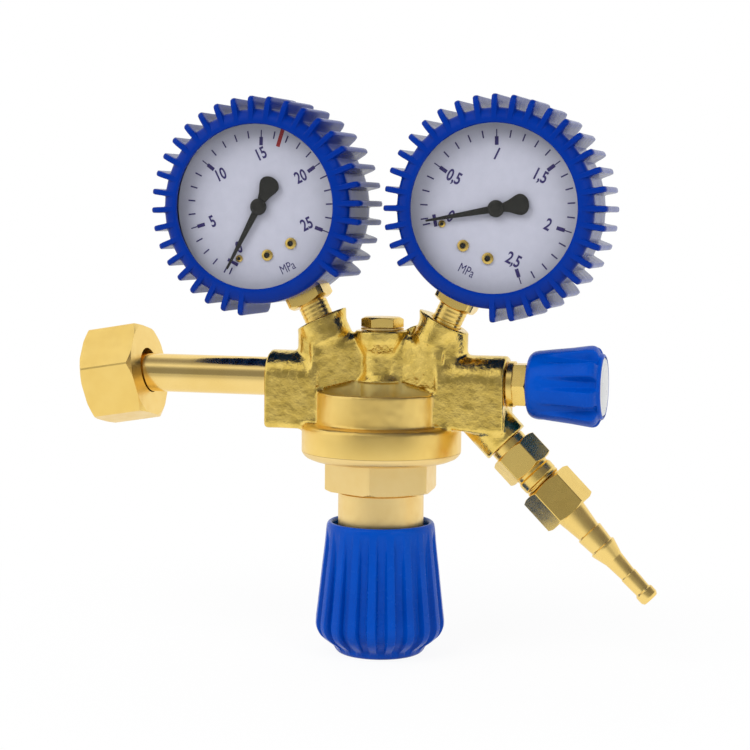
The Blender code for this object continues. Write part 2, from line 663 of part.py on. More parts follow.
def valve_seat():
    """Seat insert with a raised lip round its orifice."""
    outer = BORE_RADIUS - FIT
    lip = 0.8 * MM
    return turned([
        (SEAT_ORIFICE, SEAT_BOTTOM), (outer, SEAT_BOTTOM), (outer, SEAT_TOP - lip),
        (SEAT_ORIFICE + 2.0 * lip, SEAT_TOP - lip), (SEAT_ORIFICE + lip, SEAT_TOP), (SEAT_ORIFICE, SEAT_TOP)],
        FINE_STEPS)


def valve_poppet():
    bevel = 1.0 * MM
    stem_top = SHANK_BOTTOM + PLUG_GUIDE_DEPTH - VALVE_LIFT - SLACK
    return turned([
        (0.0, POPPET_BOTTOM), (POPPET_RADIUS - bevel, POPPET_BOTTOM), (POPPET_RADIUS, POPPET_BOTTOM + bevel),
        (POPPET_RADIUS, POPPET_TOP), (POPPET_STEM_RADIUS, POPPET_TOP), (POPPET_STEM_RADIUS, stem_top),
        (0.0, stem_top)], FINE_STEPS)


def poppet_spring():
    radius = (POPPET_STEM_RADIUS + POPPET_RADIUS) / 2.0
    low = POPPET_TOP + FIT
    return coil(radius, POPPET_WIRE, low, SHANK_BOTTOM - FIT - low, POPPET_TURNS)


def push_pin():
    return rod(PIN_RADIUS, DIAPHRAGM_TOP + FIT, POPPET_BOTTOM - FIT, DRILL_STEPS)


def diaphragm():
    """Rubber disc, clamped at its rim."""
    radius = CUP_INNER - 2.0 * FIT
    return rod(radius, DIAPHRAGM_BOTTOM, DIAPHRAGM_TOP, STEPS)


def slip_ring():
    return tube(CUP_INNER - 2.0 * FIT, CHAMBER_RADIUS, SLIP_RING_TOP - SLIP_RING_THICKNESS, SLIP_RING_TOP)


def diaphragm_plate():
    """Plate under the diaphragm with a spigot that centres the main spring."""
    spigot = PLATE_BOTTOM - SPIGOT_HEIGHT
    return turned([
        (0.0, spigot), (SPRING_SPIGOT - FIT, spigot), (SPRING_SPIGOT, spigot + FIT),
        (SPRING_SPIGOT, PLATE_BOTTOM), (PLATE_RADIUS, PLATE_BOTTOM), (PLATE_RADIUS, PLATE_TOP),
        (0.0, PLATE_TOP)], FINE_STEPS)


# Spring bonnet

def bonnet():
    """Screwed cover: a thread in the cup, a rounded shoulder, a hexagon and the spring's tube."""
    seat = CUP_BOTTOM - FIT
    shoulder = seat - SHOULDER_DROP
    recess = PLATE_RADIUS + 2.0 * SLACK
    recess_floor = PLATE_BOTTOM - 2.0 * SLACK
    corner = BONNET_FLATS / 2.0 / math.cos(math.pi / 6.0)
    run = SHOULDER_RADIUS - corner
    swell = [(corner + run * math.cos(a), seat - SHOULDER_DROP * math.sin(a))
             for a in (math.radians(degrees) for degrees in (0.0, 45.0, 90.0))]
    hole = SCREW_RADIUS + SLACK
    inner_floor = TUBE_BOTTOM + TUBE_FLOOR
    edge = 0.8 * MM
    shell = turned([
        (recess, BONNET_TOP), (CUP_INNER - FIT, BONNET_TOP), (CUP_INNER - FIT, seat), *swell,
        (TUBE_RADIUS, shoulder), (TUBE_RADIUS, TUBE_BOTTOM + edge), (TUBE_RADIUS - edge, TUBE_BOTTOM),
        (hole, TUBE_BOTTOM), (hole, inner_floor), (SPRING_BORE, inner_floor), (SPRING_BORE, recess_floor),
        (recess, recess_floor)], STEPS)
    hexagon = hex_bar(BONNET_FLATS, BONNET_HEX_BOTTOM, shoulder + OVERSHOOT / 2.0, HEX_CHAMFER, 0.0,
                      BONNET_HEX_TURN)
    middle = (SPRING_BORE + TUBE_RADIUS) / 2.0
    return joined(shell, cut(hexagon, rod(middle, BONNET_HEX_BOTTOM - OVERSHOOT, shoulder + OVERSHOOT)))


def main_spring():
    return coil(MAIN_COIL_RADIUS, MAIN_WIRE, SPRING_BOTTOM, MAIN_SPRING_LENGTH, MAIN_TURNS)


def spring_button():
    """Disc that the screw pushes, with a spigot inside the spring."""
    radius = SPRING_BORE - SLACK
    spigot = BUTTON_TOP + SPIGOT_HEIGHT
    return turned([
        (0.0, BUTTON_BOTTOM), (radius - SLACK, BUTTON_BOTTOM), (radius, BUTTON_BOTTOM + SLACK),
        (radius, BUTTON_TOP), (SPRING_SPIGOT, BUTTON_TOP), (SPRING_SPIGOT, spigot), (0.0, spigot)], FINE_STEPS)


def adjusting_screw():
    low = KNOB_HUB_TOP - SCREW_SOCKET + FIT
    edge = 0.8 * MM
    return turned([
        (0.0, low), (SCREW_RADIUS, low), (SCREW_RADIUS, SCREW_TOP - edge), (SCREW_RADIUS - edge, SCREW_TOP),
        (0.0, SCREW_TOP)], FINE_STEPS)


# Knob

def ribbed_ring(radius, groove, height, ribs, points, sharp=1.0):
    """One ring of a grip: ribs with rounded grooves between them."""
    ring = []
    for i in range(ribs * points):
        angle = 2.0 * math.pi * i / (ribs * points)
        depth = (0.5 - 0.5 * math.cos(ribs * angle)) ** sharp
        reach = radius - groove * depth
        ring.append((reach * math.cos(angle), reach * math.sin(angle), height))
    return ring


def adjusting_knob():
    """Hollow ribbed knob: smooth rim, grooves that deepen downwards, rounded foot and an inner hub."""
    edge = 0.8 * MM
    band = KNOB_RIM_TOP - KNOB_BAND
    flare = (KNOB_WIDE_RADIUS - KNOB_RIM_RADIUS) / (KNOB_RIM_TOP - KNOB_WIDE_HEIGHT)
    foot = KNOB_BOTTOM + 1.5 * MM
    drop = KNOB_WIDE_HEIGHT - foot
    run = KNOB_WIDE_RADIUS - KNOB_FOOT_RADIUS
    stations = [
        (KNOB_RIM_RADIUS - edge, 0.0, KNOB_RIM_TOP), (KNOB_RIM_RADIUS, 0.0, KNOB_RIM_TOP - edge),
        (KNOB_RIM_RADIUS + flare * KNOB_BAND, 0.1, band),
        (KNOB_WIDE_RADIUS, 1.0, KNOB_WIDE_HEIGHT),
        (KNOB_WIDE_RADIUS - 0.3 * run, 1.0, KNOB_WIDE_HEIGHT - 0.55 * drop),
        (KNOB_FOOT_RADIUS, 0.2, foot), (KNOB_FOOT_RADIUS - edge, 0.0, KNOB_BOTTOM)]
    outside = loft([ribbed_ring(radius, share * KNOB_GROOVE, height, KNOB_RIBS, 4)
                    for radius, share, height in stations])
    floor = KNOB_BOTTOM + KNOB_FLOOR
    wide = KNOB_WIDE_RADIUS - KNOB_GROOVE - KNOB_WALL
    above = KNOB_RIM_TOP + OVERSHOOT
    cavity = turned([
        (0.0, KNOB_HUB_TOP), (KNOB_HUB_RADIUS, KNOB_HUB_TOP), (KNOB_HUB_RADIUS, floor),
        (KNOB_FOOT_RADIUS - KNOB_WALL, floor), (wide, KNOB_WIDE_HEIGHT),
        (KNOB_RIM_RADIUS - KNOB_RIM_WALL, above), (0.0, above)], FINE_STEPS)
    socket = rod(SCREW_RADIUS + FIT, KNOB_HUB_TOP - SCREW_SOCKET, KNOB_HUB_TOP + OVERSHOOT)
    return cut(outside, cavity, socket)


# Gauges, each in a frame with x across, y up the stem and z towards the reader

LENS_BACK = CASE_FRONT + FIT
LENS_FRONT = LENS_BACK + LENS_THICKNESS
BOOT_INNER = CASE_RADIUS + FIT
BOOT_OUTER = BOOT_INNER + BOOT_WALL
BOOT_FRONT = LENS_FRONT + FIT + BOOT_LIP
BOOT_BACK = CASE_BACK - FIT - BOOT_LIP
SECTOR_RADIUS = SECTOR_DISTANCE - PINION_RADIUS
MESH_GAP = FIT
SECTOR_SWEEP = POINTER_SWEEP * PINION_RADIUS / SECTOR_RADIUS


def fin_angles():
    """Angles of the boot's fins from straight down the stem, and of the bare pitches beside it."""
    pitch = 2.0 * math.pi / FIN_PITCHES
    fins = []
    bare = []
    for i in range(FIN_PITCHES):
        away = min(i, FIN_PITCHES - i)
        (bare if away <= FIN_GAP else fins).append(i * pitch)
    return fins, bare


def fin_ring(root, tip, root_height, tip_height):
    """One section of the boot's outside: a circle with a narrow fin at each pitch."""
    fins, bare = fin_angles()
    points = []
    for angle in sorted(fins + bare):
        down = angle + FIN_TURN - 0.5 * math.pi
        if angle in bare:
            points.append((root * math.cos(down), root * math.sin(down), root_height))
            continue
        foot = FIN_WIDTH * 0.55 / root
        crest = FIN_WIDTH * 0.45 / tip
        for lean, radius, height in ((-foot, root, root_height), (-crest, tip, tip_height),
                                     (crest, tip, tip_height), (foot, root, root_height)):
            points.append((radius * math.cos(down + lean), radius * math.sin(down + lean), height))
    return points


def gauge_boot():
    """Finned rubber boot: a bevelled front lip holds the lens, a back lip holds the case."""
    bevel_start = BOOT_WINDOW + 1.5 * MM
    corner = BOOT_FRONT - BOOT_BEVEL * 0.7
    rise = 0.6 * MM
    step = 1.0 * MM
    outside = loft([
        fin_ring(bevel_start, bevel_start + rise, BOOT_FRONT, BOOT_FRONT),
        fin_ring(BOOT_OUTER, BOOT_OUTER + FIN_FRONT_HEIGHT, corner, corner + 2.0 * rise),
        fin_ring(BOOT_OUTER, BOOT_OUTER + FIN_BACK_HEIGHT, BOOT_BACK + 2.0 * step, BOOT_BACK + 2.0 * step),
        fin_ring(BOOT_OUTER - step, BOOT_OUTER + FIN_BACK_HEIGHT - step, BOOT_BACK, BOOT_BACK)])
    low, high = BOOT_BACK + BOOT_LIP, BOOT_FRONT - BOOT_LIP
    inside = turned([
        (0.0, BOOT_BACK - OVERSHOOT), (BOOT_BACK_WINDOW, BOOT_BACK - OVERSHOOT), (BOOT_BACK_WINDOW, low),
        (BOOT_INNER, low), (BOOT_INNER, high), (BOOT_WINDOW, high),
        (BOOT_WINDOW, BOOT_FRONT + OVERSHOOT), (0.0, BOOT_FRONT + OVERSHOOT)], STEPS)
    width = STEM_FLATS + 2.0 * FIT
    reach = BOOT_WALL + FIN_BACK_HEIGHT + 2.0 * OVERSHOOT
    stem_hole = block((width, reach, width), (0.0, -BOOT_INNER - reach / 2.0 + OVERSHOOT, 0.0))
    return cut(outside, inside, stem_hole)


def gauge_case():
    """Pressed cup with a slot for the socket block."""
    edge = 1.5 * MM
    cup = turned([
        (0.0, CASE_BACK), (CASE_RADIUS - edge, CASE_BACK), (CASE_RADIUS, CASE_BACK + edge),
        (CASE_RADIUS, CASE_FRONT), (CASE_RADIUS - CASE_WALL, CASE_FRONT),
        (CASE_RADIUS - CASE_WALL, CASE_BACK + CASE_WALL),
        (0.0, CASE_BACK + CASE_WALL)], STEPS)
    reach = 4.0 * CASE_WALL
    slot = block((BLOCK_WIDTH + 2.0 * FIT, reach, BLOCK_DEPTH + 2.0 * FIT), (0.0, -CASE_RADIUS, 0.0))
    return cut(cup, slot)


def gauge_lens():
    return rod(CASE_RADIUS, LENS_BACK, LENS_FRONT, HOUSING_STEPS)


def gauge_dial():
    radius = CASE_RADIUS - CASE_WALL - FIT
    return tube(radius, ARBOR_RADIUS + SLACK, DIAL_PLANE, DIAL_PLANE + DIAL_THICKNESS, STEPS)


def gauge_socket():
    """Threaded stem, wrench square and inner block, drawn along the stem from its foot."""
    square_low = STEM_BOSS_REACH + STEM_NECK
    square_high = GAUGE_HEIGHT - CASE_RADIUS - FIT
    block_high = GAUGE_HEIGHT + BLOCK_TOP
    half = STEM_FLATS / 2.0
    corner = 1.5 * MM
    outline = []
    for sx, sy, first in ((1, 1, 1), (-1, 1, 0), (-1, -1, 1), (1, -1, 0)):
        pair = [(sx * half, sy * (half - corner)), (sx * (half - corner), sy * half)]
        outline += pair if first else pair[::-1]
    thread = rod(STEM_THREAD_RADIUS, STEM_BOSS_REACH - STEM_THREAD_LENGTH, square_low + OVERSHOOT)
    square = extruded(outline, square_low, square_high)
    inner = block((BLOCK_WIDTH, BLOCK_DEPTH, block_high - square_high + OVERSHOOT),
                  (0.0, 0.0, (block_high + square_high - OVERSHOOT) / 2.0))
    return joined(thread, square, inner)


def bourdon_tube():
    """Flattened tube bent round the dial's axis, from the socket block to its free end."""
    start = math.pi + math.acos((BLOCK_WIDTH / 2.0 + FIT) / (BOURDON_RADIUS - BOURDON_WIDTH / 2.0))
    count = 14
    rings = []
    for i in range(count + 1):
        angle = start + (BOURDON_END - start) * i / count
        ring = []
        for k in range(6):
            lean = 2.0 * math.pi * (k + 0.5) / 6
            radius = BOURDON_RADIUS + BOURDON_WIDTH / 2.0 * math.cos(lean)
            ring.append((radius * math.cos(angle), radius * math.sin(angle),
                         BOURDON_PLANE + BOURDON_DEPTH / 2.0 * math.sin(lean)))
        rings.append(ring)
    return loft(rings)


def movement_frame():
    """Two plates held apart by pillars, standing on the socket block."""
    low = BLOCK_TOP + FIT
    size = (FRAME_WIDTH, FRAME_TOP - low, FRAME_PLATE)
    centre_y = (FRAME_TOP + low) / 2.0
    plates = [block(size, (0.0, centre_y, plane + FRAME_PLATE / 2.0)) for plane in (FRAME_LOW, FRAME_HIGH)]
    inset = 2.0 * PILLAR_RADIUS
    solid = plates[0]
    for x, y in ((inset - FRAME_WIDTH / 2.0, FRAME_TOP - inset), (FRAME_WIDTH / 2.0 - inset, low + inset)):
        pillar = rod(PILLAR_RADIUS, FRAME_LOW + FRAME_PLATE / 2.0, FRAME_HIGH + FRAME_PLATE / 2.0,
                     DRILL_STEPS)
        solid = joined(solid, moved(pillar, Matrix.Translation((x, y, 0.0))))
    solid = joined(solid, plates[1])
    ends = (FRAME_LOW - OVERSHOOT, FRAME_HIGH + FRAME_PLATE + OVERSHOOT)
    arbor_hole = rod(ARBOR_RADIUS + FIT, *ends, DRILL_STEPS)
    pin_hole = rod(SECTOR_PIN_RADIUS + FIT, *ends, DRILL_STEPS)
    moved(pin_hole, Matrix.Translation((0.0, -SECTOR_DISTANCE, 0.0)))
    return cut(solid, arbor_hole, pin_hole)


def sector_gear():
    """Toothless stand-in for the fine-toothed sector, on its own pivot."""
    hub = 2.2 * SECTOR_PIN_RADIUS
    rim = SECTOR_RADIUS - MESH_GAP
    up = 0.5 * math.pi
    outline = arc((0.0, 0.0), rim, up - SECTOR_HALF_ANGLE, up + SECTOR_HALF_ANGLE, 9)
    outline += arc((0.0, 0.0), hub, up + 2.0 * SECTOR_HALF_ANGLE, up + 2.0 * (math.pi - SECTOR_HALF_ANGLE), 7)
    middle = (FRAME_LOW + FRAME_PLATE + FRAME_HIGH) / 2.0
    fan = extruded(outline, middle - SECTOR_THICKNESS / 2.0, middle + SECTOR_THICKNESS / 2.0)
    pin = rod(SECTOR_PIN_RADIUS, FRAME_LOW, FRAME_HIGH + FRAME_PLATE, DRILL_STEPS)
    return joined(fan, pin)


def pointer_arbor():
    """Spindle of the pointer with its pinion between the plates."""
    top = POINTER_PLANE + POINTER_HUB_HEIGHT - 2.0 * FIT
    low = FRAME_LOW + FRAME_PLATE + FIT
    high = FRAME_HIGH - FIT
    return turned([
        (0.0, FRAME_LOW), (ARBOR_RADIUS, FRAME_LOW), (ARBOR_RADIUS, low), (PINION_RADIUS, low),
        (PINION_RADIUS, high), (ARBOR_RADIUS, high), (ARBOR_RADIUS, top), (0.0, top)], DRILL_STEPS)


def gauge_pointer():
    """Tapered needle with a flared tail and a domed hub."""
    waist = POINTER_WAIST / 2.0
    tip = POINTER_TIP_WIDTH / 2.0
    tail = POINTER_TAIL_WIDTH / 2.0
    outline = [(tip, POINTER_LENGTH), (-tip, POINTER_LENGTH), (-waist, 0.0), (-tail, tail - POINTER_TAIL)]
    outline += arc((0.0, tail - POINTER_TAIL), tail, math.pi + 0.3, 2.0 * math.pi - 0.3, 5)
    outline += [(tail, tail - POINTER_TAIL), (waist, 0.0)]
    needle = extruded(outline, POINTER_PLANE, POINTER_PLANE + POINTER_THICKNESS)
    top = POINTER_PLANE + POINTER_HUB_HEIGHT
    hub = turned([
        (0.0, POINTER_PLANE - FIT), (POINTER_HUB_RADIUS, POINTER_PLANE - FIT),
        (POINTER_HUB_RADIUS, top - 2.0 * FIT), (POINTER_HUB_RADIUS - 2.0 * FIT, top), (0.0, top)], FINE_STEPS)
    hole = rod(ARBOR_RADIUS + FIT, POINTER_PLANE - OVERSHOOT, top - FIT, DRILL_STEPS)
    return cut(joined(needle, hub), hole)


# Relief valve, drawn outwards from the rib

def relief_disc():
    low = RELIEF_FLOOR + FIT
    return rod(RELIEF_BORE - SLACK, low, low + RELIEF_DISC)


def relief_spring():
    low = RELIEF_FLOOR + FIT + RELIEF_DISC + FIT
    high = RELIEF_BOSS_END - RELIEF_SHANK - FIT
    return coil(RELIEF_BORE - SLACK - RELIEF_WIRE, RELIEF_WIRE, low, high - low, RELIEF_TURNS)


def relief_cap():
    """Hexagon cap with a vent hole, screwed into the boss."""
    low = RELIEF_BOSS_END + FIT
    head = hex_bar(RELIEF_CAP_FLATS, low, low + RELIEF_CAP_LENGTH, 0.0, HEX_CHAMFER)
    foot = RELIEF_BOSS_END - RELIEF_SHANK
    shank = rod(RELIEF_BORE - FIT, foot, low + OVERSHOOT)
    vent = rod(DRILL_RADIUS, foot - OVERSHOOT, low + RELIEF_CAP_LENGTH + OVERSHOOT, DRILL_STEPS)
    return cut(joined(head, shank), vent)


# Outlet valve, drawn along X from the valve column

PLUG_LOW = VALVE_SEAT + FIT
PLUG_HIGH = PLUG_LOW + VALVE_PLUG_LENGTH
VALVE_COLLAR = OUTLET_BLOCK_END + FIT
VALVE_HEX = VALVE_COLLAR + VALVE_COLLAR_LENGTH
VALVE_END = VALVE_HEX + VALVE_HEX_LENGTH
WHEEL_START = VALVE_END + FIT
WHEEL_END = WHEEL_START + WHEEL_LENGTH
SEAL_RADIUS = SPINDLE_RADIUS + FIT + SEAL_WIRE
SEAL_GROOVE = SEAL_RADIUS + SEAL_WIRE + FIT


def outlet_valve_plug():
    edge = 0.8 * MM
    radius = VALVE_BORE - SLACK
    return turned([(0.0, PLUG_LOW), (radius - edge, PLUG_LOW), (radius, PLUG_LOW + edge), (radius, PLUG_HIGH),
                   (0.0, PLUG_HIGH)], FINE_STEPS)


def outlet_valve_spindle():
    return rod(SPINDLE_RADIUS, PLUG_HIGH + FIT, WHEEL_START + SPINDLE_GRIP)


def spindle_seal():
    """Ring seal in the valve bonnet's inner groove."""
    ring = [(SEAL_RADIUS + x, VALVE_HEX + z) for x, z in arc((0.0, 0.0), SEAL_WIRE, 0.0, 1.6 * math.pi, 5)]
    return turned(ring, FINE_STEPS)


def outlet_valve_bonnet():
    """Screwed insert: thread, round collar and hexagon, bored for the spindle and its seal."""
    bore = SPINDLE_RADIUS + SLACK
    groove = SEAL_WIRE + FIT
    inner = OUTLET_BLOCK_END - VALVE_BONNET_REACH
    flats = VALVE_HEX_FLATS / 2.0
    shell = turned([
        (bore, inner), (VALVE_BORE - FIT, inner), (VALVE_BORE - FIT, VALVE_COLLAR),
        (VALVE_COLLAR_RADIUS, VALVE_COLLAR), (VALVE_COLLAR_RADIUS, VALVE_HEX), (flats - SLACK, VALVE_HEX),
        (flats - SLACK, VALVE_END), (bore, VALVE_END), (bore, VALVE_HEX + groove),
        (SEAL_GROOVE, VALVE_HEX + groove), (SEAL_GROOVE, VALVE_HEX - groove), (bore, VALVE_HEX - groove)],
        FINE_STEPS)
    hexagon = hex_bar(VALVE_HEX_FLATS, VALVE_HEX - SLACK, VALVE_END - FIT, 0.0, 0.0)
    middle = rod((SEAL_GROOVE + flats - SLACK) / 2.0, VALVE_HEX - OVERSHOOT, VALVE_END + OVERSHOOT)
    return joined(shell, cut(hexagon, middle))


def handwheel():
    """Lobed grip that widens outwards, bored for the spindle and recessed for its cap."""
    stations = [
        (WHEEL_INNER_RADIUS - WHEEL_ROUND, 0.3, WHEEL_START),
        (WHEEL_INNER_RADIUS - 0.3 * WHEEL_ROUND, 0.8, WHEEL_START + 0.35 * WHEEL_ROUND),
        (WHEEL_INNER_RADIUS, 1.0, WHEEL_START + WHEEL_ROUND),
        (WHEEL_OUTER_RADIUS, 1.0, WHEEL_END - 2.0 * WHEEL_ROUND),
        (WHEEL_OUTER_RADIUS - 0.4 * WHEEL_ROUND, 0.7, WHEEL_END - 0.8 * WHEEL_ROUND),
        (WHEEL_OUTER_RADIUS - WHEEL_ROUND, 0.2, WHEEL_END)]
    outside = loft([ribbed_ring(radius, share * WHEEL_GROOVE, height, WHEEL_LOBES, 5, 2.0)
                    for radius, share, height in stations])
    bore = rod(SPINDLE_RADIUS + FIT, WHEEL_START - OVERSHOOT, WHEEL_START + SPINDLE_GRIP + FIT)
    recess = rod(WHEEL_CAP_RADIUS + FIT, WHEEL_END - WHEEL_CAP_THICKNESS - FIT, WHEEL_END + OVERSHOOT, STEPS)
    return cut(outside, bore, recess)


def handwheel_cap():
    """Round cap with a slight crown."""
    low = WHEEL_END - WHEEL_CAP_THICKNESS
    return turned([
        (0.0, low), (WHEEL_CAP_RADIUS, low), (WHEEL_CAP_RADIUS, WHEEL_END),
        (WHEEL_CAP_RADIUS * 0.6, WHEEL_END + WHEEL_CAP_CROWN * 0.8), (0.0, WHEEL_END + WHEEL_CAP_CROWN)])


# Outlet fittings, drawn along the outlet's axis

ADAPTER_SHOULDER = OUTLET_BOSS_REACH + FIT + ADAPTER_NECK
ADAPTER_FACE = ADAPTER_SHOULDER + ADAPTER_HEX
ADAPTER_TIP = ADAPTER_FACE + ADAPTER_SPIGOT
UNION_START = ADAPTER_FACE + UNION_STANDOFF
UNION_END = UNION_START + UNION_LENGTH
UNION_SEAT = UNION_END - UNION_WALL
UNION_BORE = ADAPTER_SPIGOT_RADIUS + FIT


def outlet_adapter():
    """Screwed adapter: shank in the boss, hexagon, and a spigot for the union nut."""
    edge = 0.6 * MM
    foot = OUTLET_BOSS_REACH - ADAPTER_SHANK
    core = turned([
        (OUTLET_BORE, foot), (ADAPTER_SHANK_RADIUS, foot),
        (ADAPTER_SHANK_RADIUS, OUTLET_BOSS_REACH + FIT), (ADAPTER_SPIGOT_RADIUS, OUTLET_BOSS_REACH + FIT),
        (ADAPTER_SPIGOT_RADIUS, ADAPTER_TIP - edge), (ADAPTER_SPIGOT_RADIUS - edge, ADAPTER_TIP),
        (OUTLET_BORE, ADAPTER_TIP)], FINE_STEPS)
    hexagon = hex_bar(ADAPTER_FLATS, ADAPTER_SHOULDER, ADAPTER_FACE, HEX_CHAMFER, HEX_CHAMFER,
                      ADAPTER_HEX_TURN)
    middle = (OUTLET_BORE + ADAPTER_SHANK_RADIUS) / 2.0
    return joined(core, cut(hexagon, rod(middle, ADAPTER_SHOULDER - OVERSHOOT, ADAPTER_FACE + OVERSHOOT)))


def outlet_nut():
    """Union nut that pulls the barb's flange onto the adapter."""
    hexagon = hex_bar(UNION_FLATS, UNION_START, UNION_END, HEX_CHAMFER, HEX_CHAMFER, UNION_HEX_TURN)
    hole = BARB_ROOT_RADIUS + FIT
    opening = turned([
        (0.0, UNION_START - OVERSHOOT), (UNION_BORE, UNION_START - OVERSHOOT), (UNION_BORE, UNION_SEAT),
        (hole, UNION_SEAT), (hole, UNION_END + OVERSHOOT), (0.0, UNION_END + OVERSHOOT)], FINE_STEPS)
    return cut(hexagon, opening)


def hose_barb():
    """Stepped hose tail for two hose bores, with its flange inside the union nut."""
    large, small, ridge = BARB_LARGE_RADIUS, BARB_SMALL_RADIUS, BARB_RIDGE
    nut = UNION_END
    tip = nut + BARB_LENGTH
    lead = BARB_NOSE_ROUND
    return turned([
        (BARB_BORE, ADAPTER_TIP + FIT), (ADAPTER_SPIGOT_RADIUS, ADAPTER_TIP + FIT),
        (ADAPTER_SPIGOT_RADIUS, UNION_SEAT - FIT), (BARB_ROOT_RADIUS, UNION_SEAT - FIT),
        (BARB_ROOT_RADIUS, nut), (large, nut + BARB_STEP_ONE),
        (large + ridge, nut + BARB_STEP_ONE + 0.5 * ridge), (large, nut + BARB_STEP_TWO),
        (large + ridge, nut + BARB_STEP_TWO + 0.5 * ridge),
        (large + 0.8 * ridge, nut + BARB_STEP_TWO + 2.0 * ridge),
        (small + ridge, nut + BARB_CONE_END), (small, nut + BARB_STEP_THREE),
        (small + 0.5 * ridge, nut + BARB_STEP_THREE + 0.5 * ridge), (small, nut + BARB_STEP_FOUR),
        (small + ridge, nut + BARB_STEP_FOUR + ridge), (small + ridge, tip - lead), (small, tip),
        (BARB_BORE, tip)], FINE_STEPS)


# Materials

FORGED_BRASS = material("forged_brass", (0.72, 0.50, 0.16), 0.32, 1.0)
MACHINED_BRASS = material("machined_brass", (0.83, 0.64, 0.28), 0.24, 1.0)
KNOB_BLUE = material("knob_blue", (0.005, 0.075, 0.48), 0.35, 0.0)
BOOT_BLUE = material("boot_blue", (0.004, 0.02, 0.32), 0.42, 0.0)
DIAL_WHITE = material("dial_white", (0.72, 0.73, 0.80), 0.5, 0.0)
POINTER_BLACK = material("pointer_black", (0.01, 0.01, 0.012), 0.45, 0.0)
LENS_CLEAR = material("lens_clear", (0.95, 0.96, 0.98), 0.05, 0.0)
STEEL = material("steel", (0.60, 0.61, 0.63), 0.3, 1.0)
CASE_STEEL = material("case_steel", (0.20, 0.21, 0.23), 0.45, 1.0)
RUBBER = material("rubber", (0.02, 0.02, 0.022), 0.7, 0.0)
FIBRE = material("fibre", (0.75, 0.72, 0.64), 0.75, 0.0)
CAP_WHITE = material("cap_white", (0.78, 0.80, 0.82), 0.4, 0.0)


# Assembly

def assemble_inlet():
    pipe_axis = frame("inlet_axis", PIPE_AXIS)
    nut_axis = frame("nut_axis", NUT_AXIS)
    place("inlet_gasket", inlet_gasket(), FIBRE, pipe_axis)
    place("inlet_pipe", inlet_pipe(), MACHINED_BRASS, pipe_axis)
    place("inlet_filter", inlet_filter(), STEEL, pipe_axis)
    place("inlet_nut", inlet_nut(), MACHINED_BRASS, nut_axis, NUT_TURN)


def assemble_column():
    column = frame("valve_column_axis", COLUMN)
    place("body", body(), FORGED_BRASS, column)
    place("top_plug", top_plug(), MACHINED_BRASS, column)
    place("plug_washer", plug_washer(), STEEL, column)
    place("valve_seat", valve_seat(), MACHINED_BRASS, column)
    place("valve_poppet", valve_poppet(), MACHINED_BRASS, column)
    place("poppet_spring", poppet_spring(), STEEL, column)
    place("push_pin", push_pin(), STEEL, column)
    place("diaphragm", diaphragm(), RUBBER, column)
    place("slip_ring", slip_ring(), STEEL, column)
    place("diaphragm_plate", diaphragm_plate(), MACHINED_BRASS, column)
    place("bonnet", bonnet(), MACHINED_BRASS, column)
    place("main_spring", main_spring(), STEEL, column)
    place("spring_button", spring_button(), STEEL, column)
    place("adjusting_screw", adjusting_screw(), STEEL, column)
    place("adjusting_knob", adjusting_knob(), KNOB_BLUE, column, KNOB_TURN)


def assemble_relief():
    axis = frame("relief_axis", COLUMN @ RELIEF_LOCAL)
    place("relief_valve_disc", relief_disc(), RUBBER, axis)
    place("relief_valve_spring", relief_spring(), STEEL, axis)
    place("relief_valve_cap", relief_cap(), MACHINED_BRASS, axis)


def assemble_gauge(prefix, side):
    stem = frame(prefix + "_stem_axis", COLUMN @ stem_local(side))
    dial_local = Matrix.Translation((0.0, 0.0, GAUGE_HEIGHT)) @ Matrix.Rotation(math.radians(90.0), 4, "X")
    dial_axis = frame(prefix + "_dial_axis", COLUMN @ stem_local(side) @ dial_local)
    sector_axis = frame(prefix + "_sector_axis", COLUMN @ stem_local(side) @ dial_local
                        @ Matrix.Translation((0.0, -SECTOR_DISTANCE, 0.0)))
    place(prefix + "_socket", gauge_socket(), MACHINED_BRASS, stem)
    place(prefix + "_case", gauge_case(), CASE_STEEL, dial_axis)
    place(prefix + "_boot", gauge_boot(), BOOT_BLUE, dial_axis)
    place(prefix + "_lens", gauge_lens(), LENS_CLEAR, dial_axis)
    place(prefix + "_dial", gauge_dial(), DIAL_WHITE, dial_axis)
    place(prefix + "_bourdon_tube", bourdon_tube(), MACHINED_BRASS, dial_axis)
    place(prefix + "_movement_frame", movement_frame(), MACHINED_BRASS, dial_axis)
    place(prefix + "_sector_gear", sector_gear(), MACHINED_BRASS, sector_axis, -SECTOR_SWEEP / 2.0)
    place(prefix + "_pointer_arbor", pointer_arbor(), STEEL, dial_axis)
    place(prefix + "_pointer", gauge_pointer(), POINTER_BLACK, dial_axis, -POINTER_ZERO)


def assemble_outlet():
    valve_axis = frame("outlet_valve_axis", VALVE_AXIS)
    outlet_axis = frame("outlet_axis", COLUMN @ OUTLET_LOCAL)
    place("outlet_valve_plug", outlet_valve_plug(), MACHINED_BRASS, valve_axis)
    place("outlet_valve_spindle", outlet_valve_spindle(), STEEL, valve_axis)
    place("spindle_seal", spindle_seal(), RUBBER, valve_axis)
    place("outlet_valve_bonnet", outlet_valve_bonnet(), MACHINED_BRASS, valve_axis)
    place("handwheel", handwheel(), KNOB_BLUE, valve_axis, WHEEL_TURN)
    place("handwheel_cap", handwheel_cap(), CAP_WHITE, valve_axis)
    place("outlet_adapter", outlet_adapter(), MACHINED_BRASS, outlet_axis)
    place("outlet_nut", outlet_nut(), MACHINED_BRASS, outlet_axis)
    place("hose_barb", hose_barb(), MACHINED_BRASS, outlet_axis)


assemble_inlet()
assemble_column()
assemble_relief()
assemble_gauge("inlet_gauge", -1)
assemble_gauge("outlet_gauge", 1)
assemble_outlet()
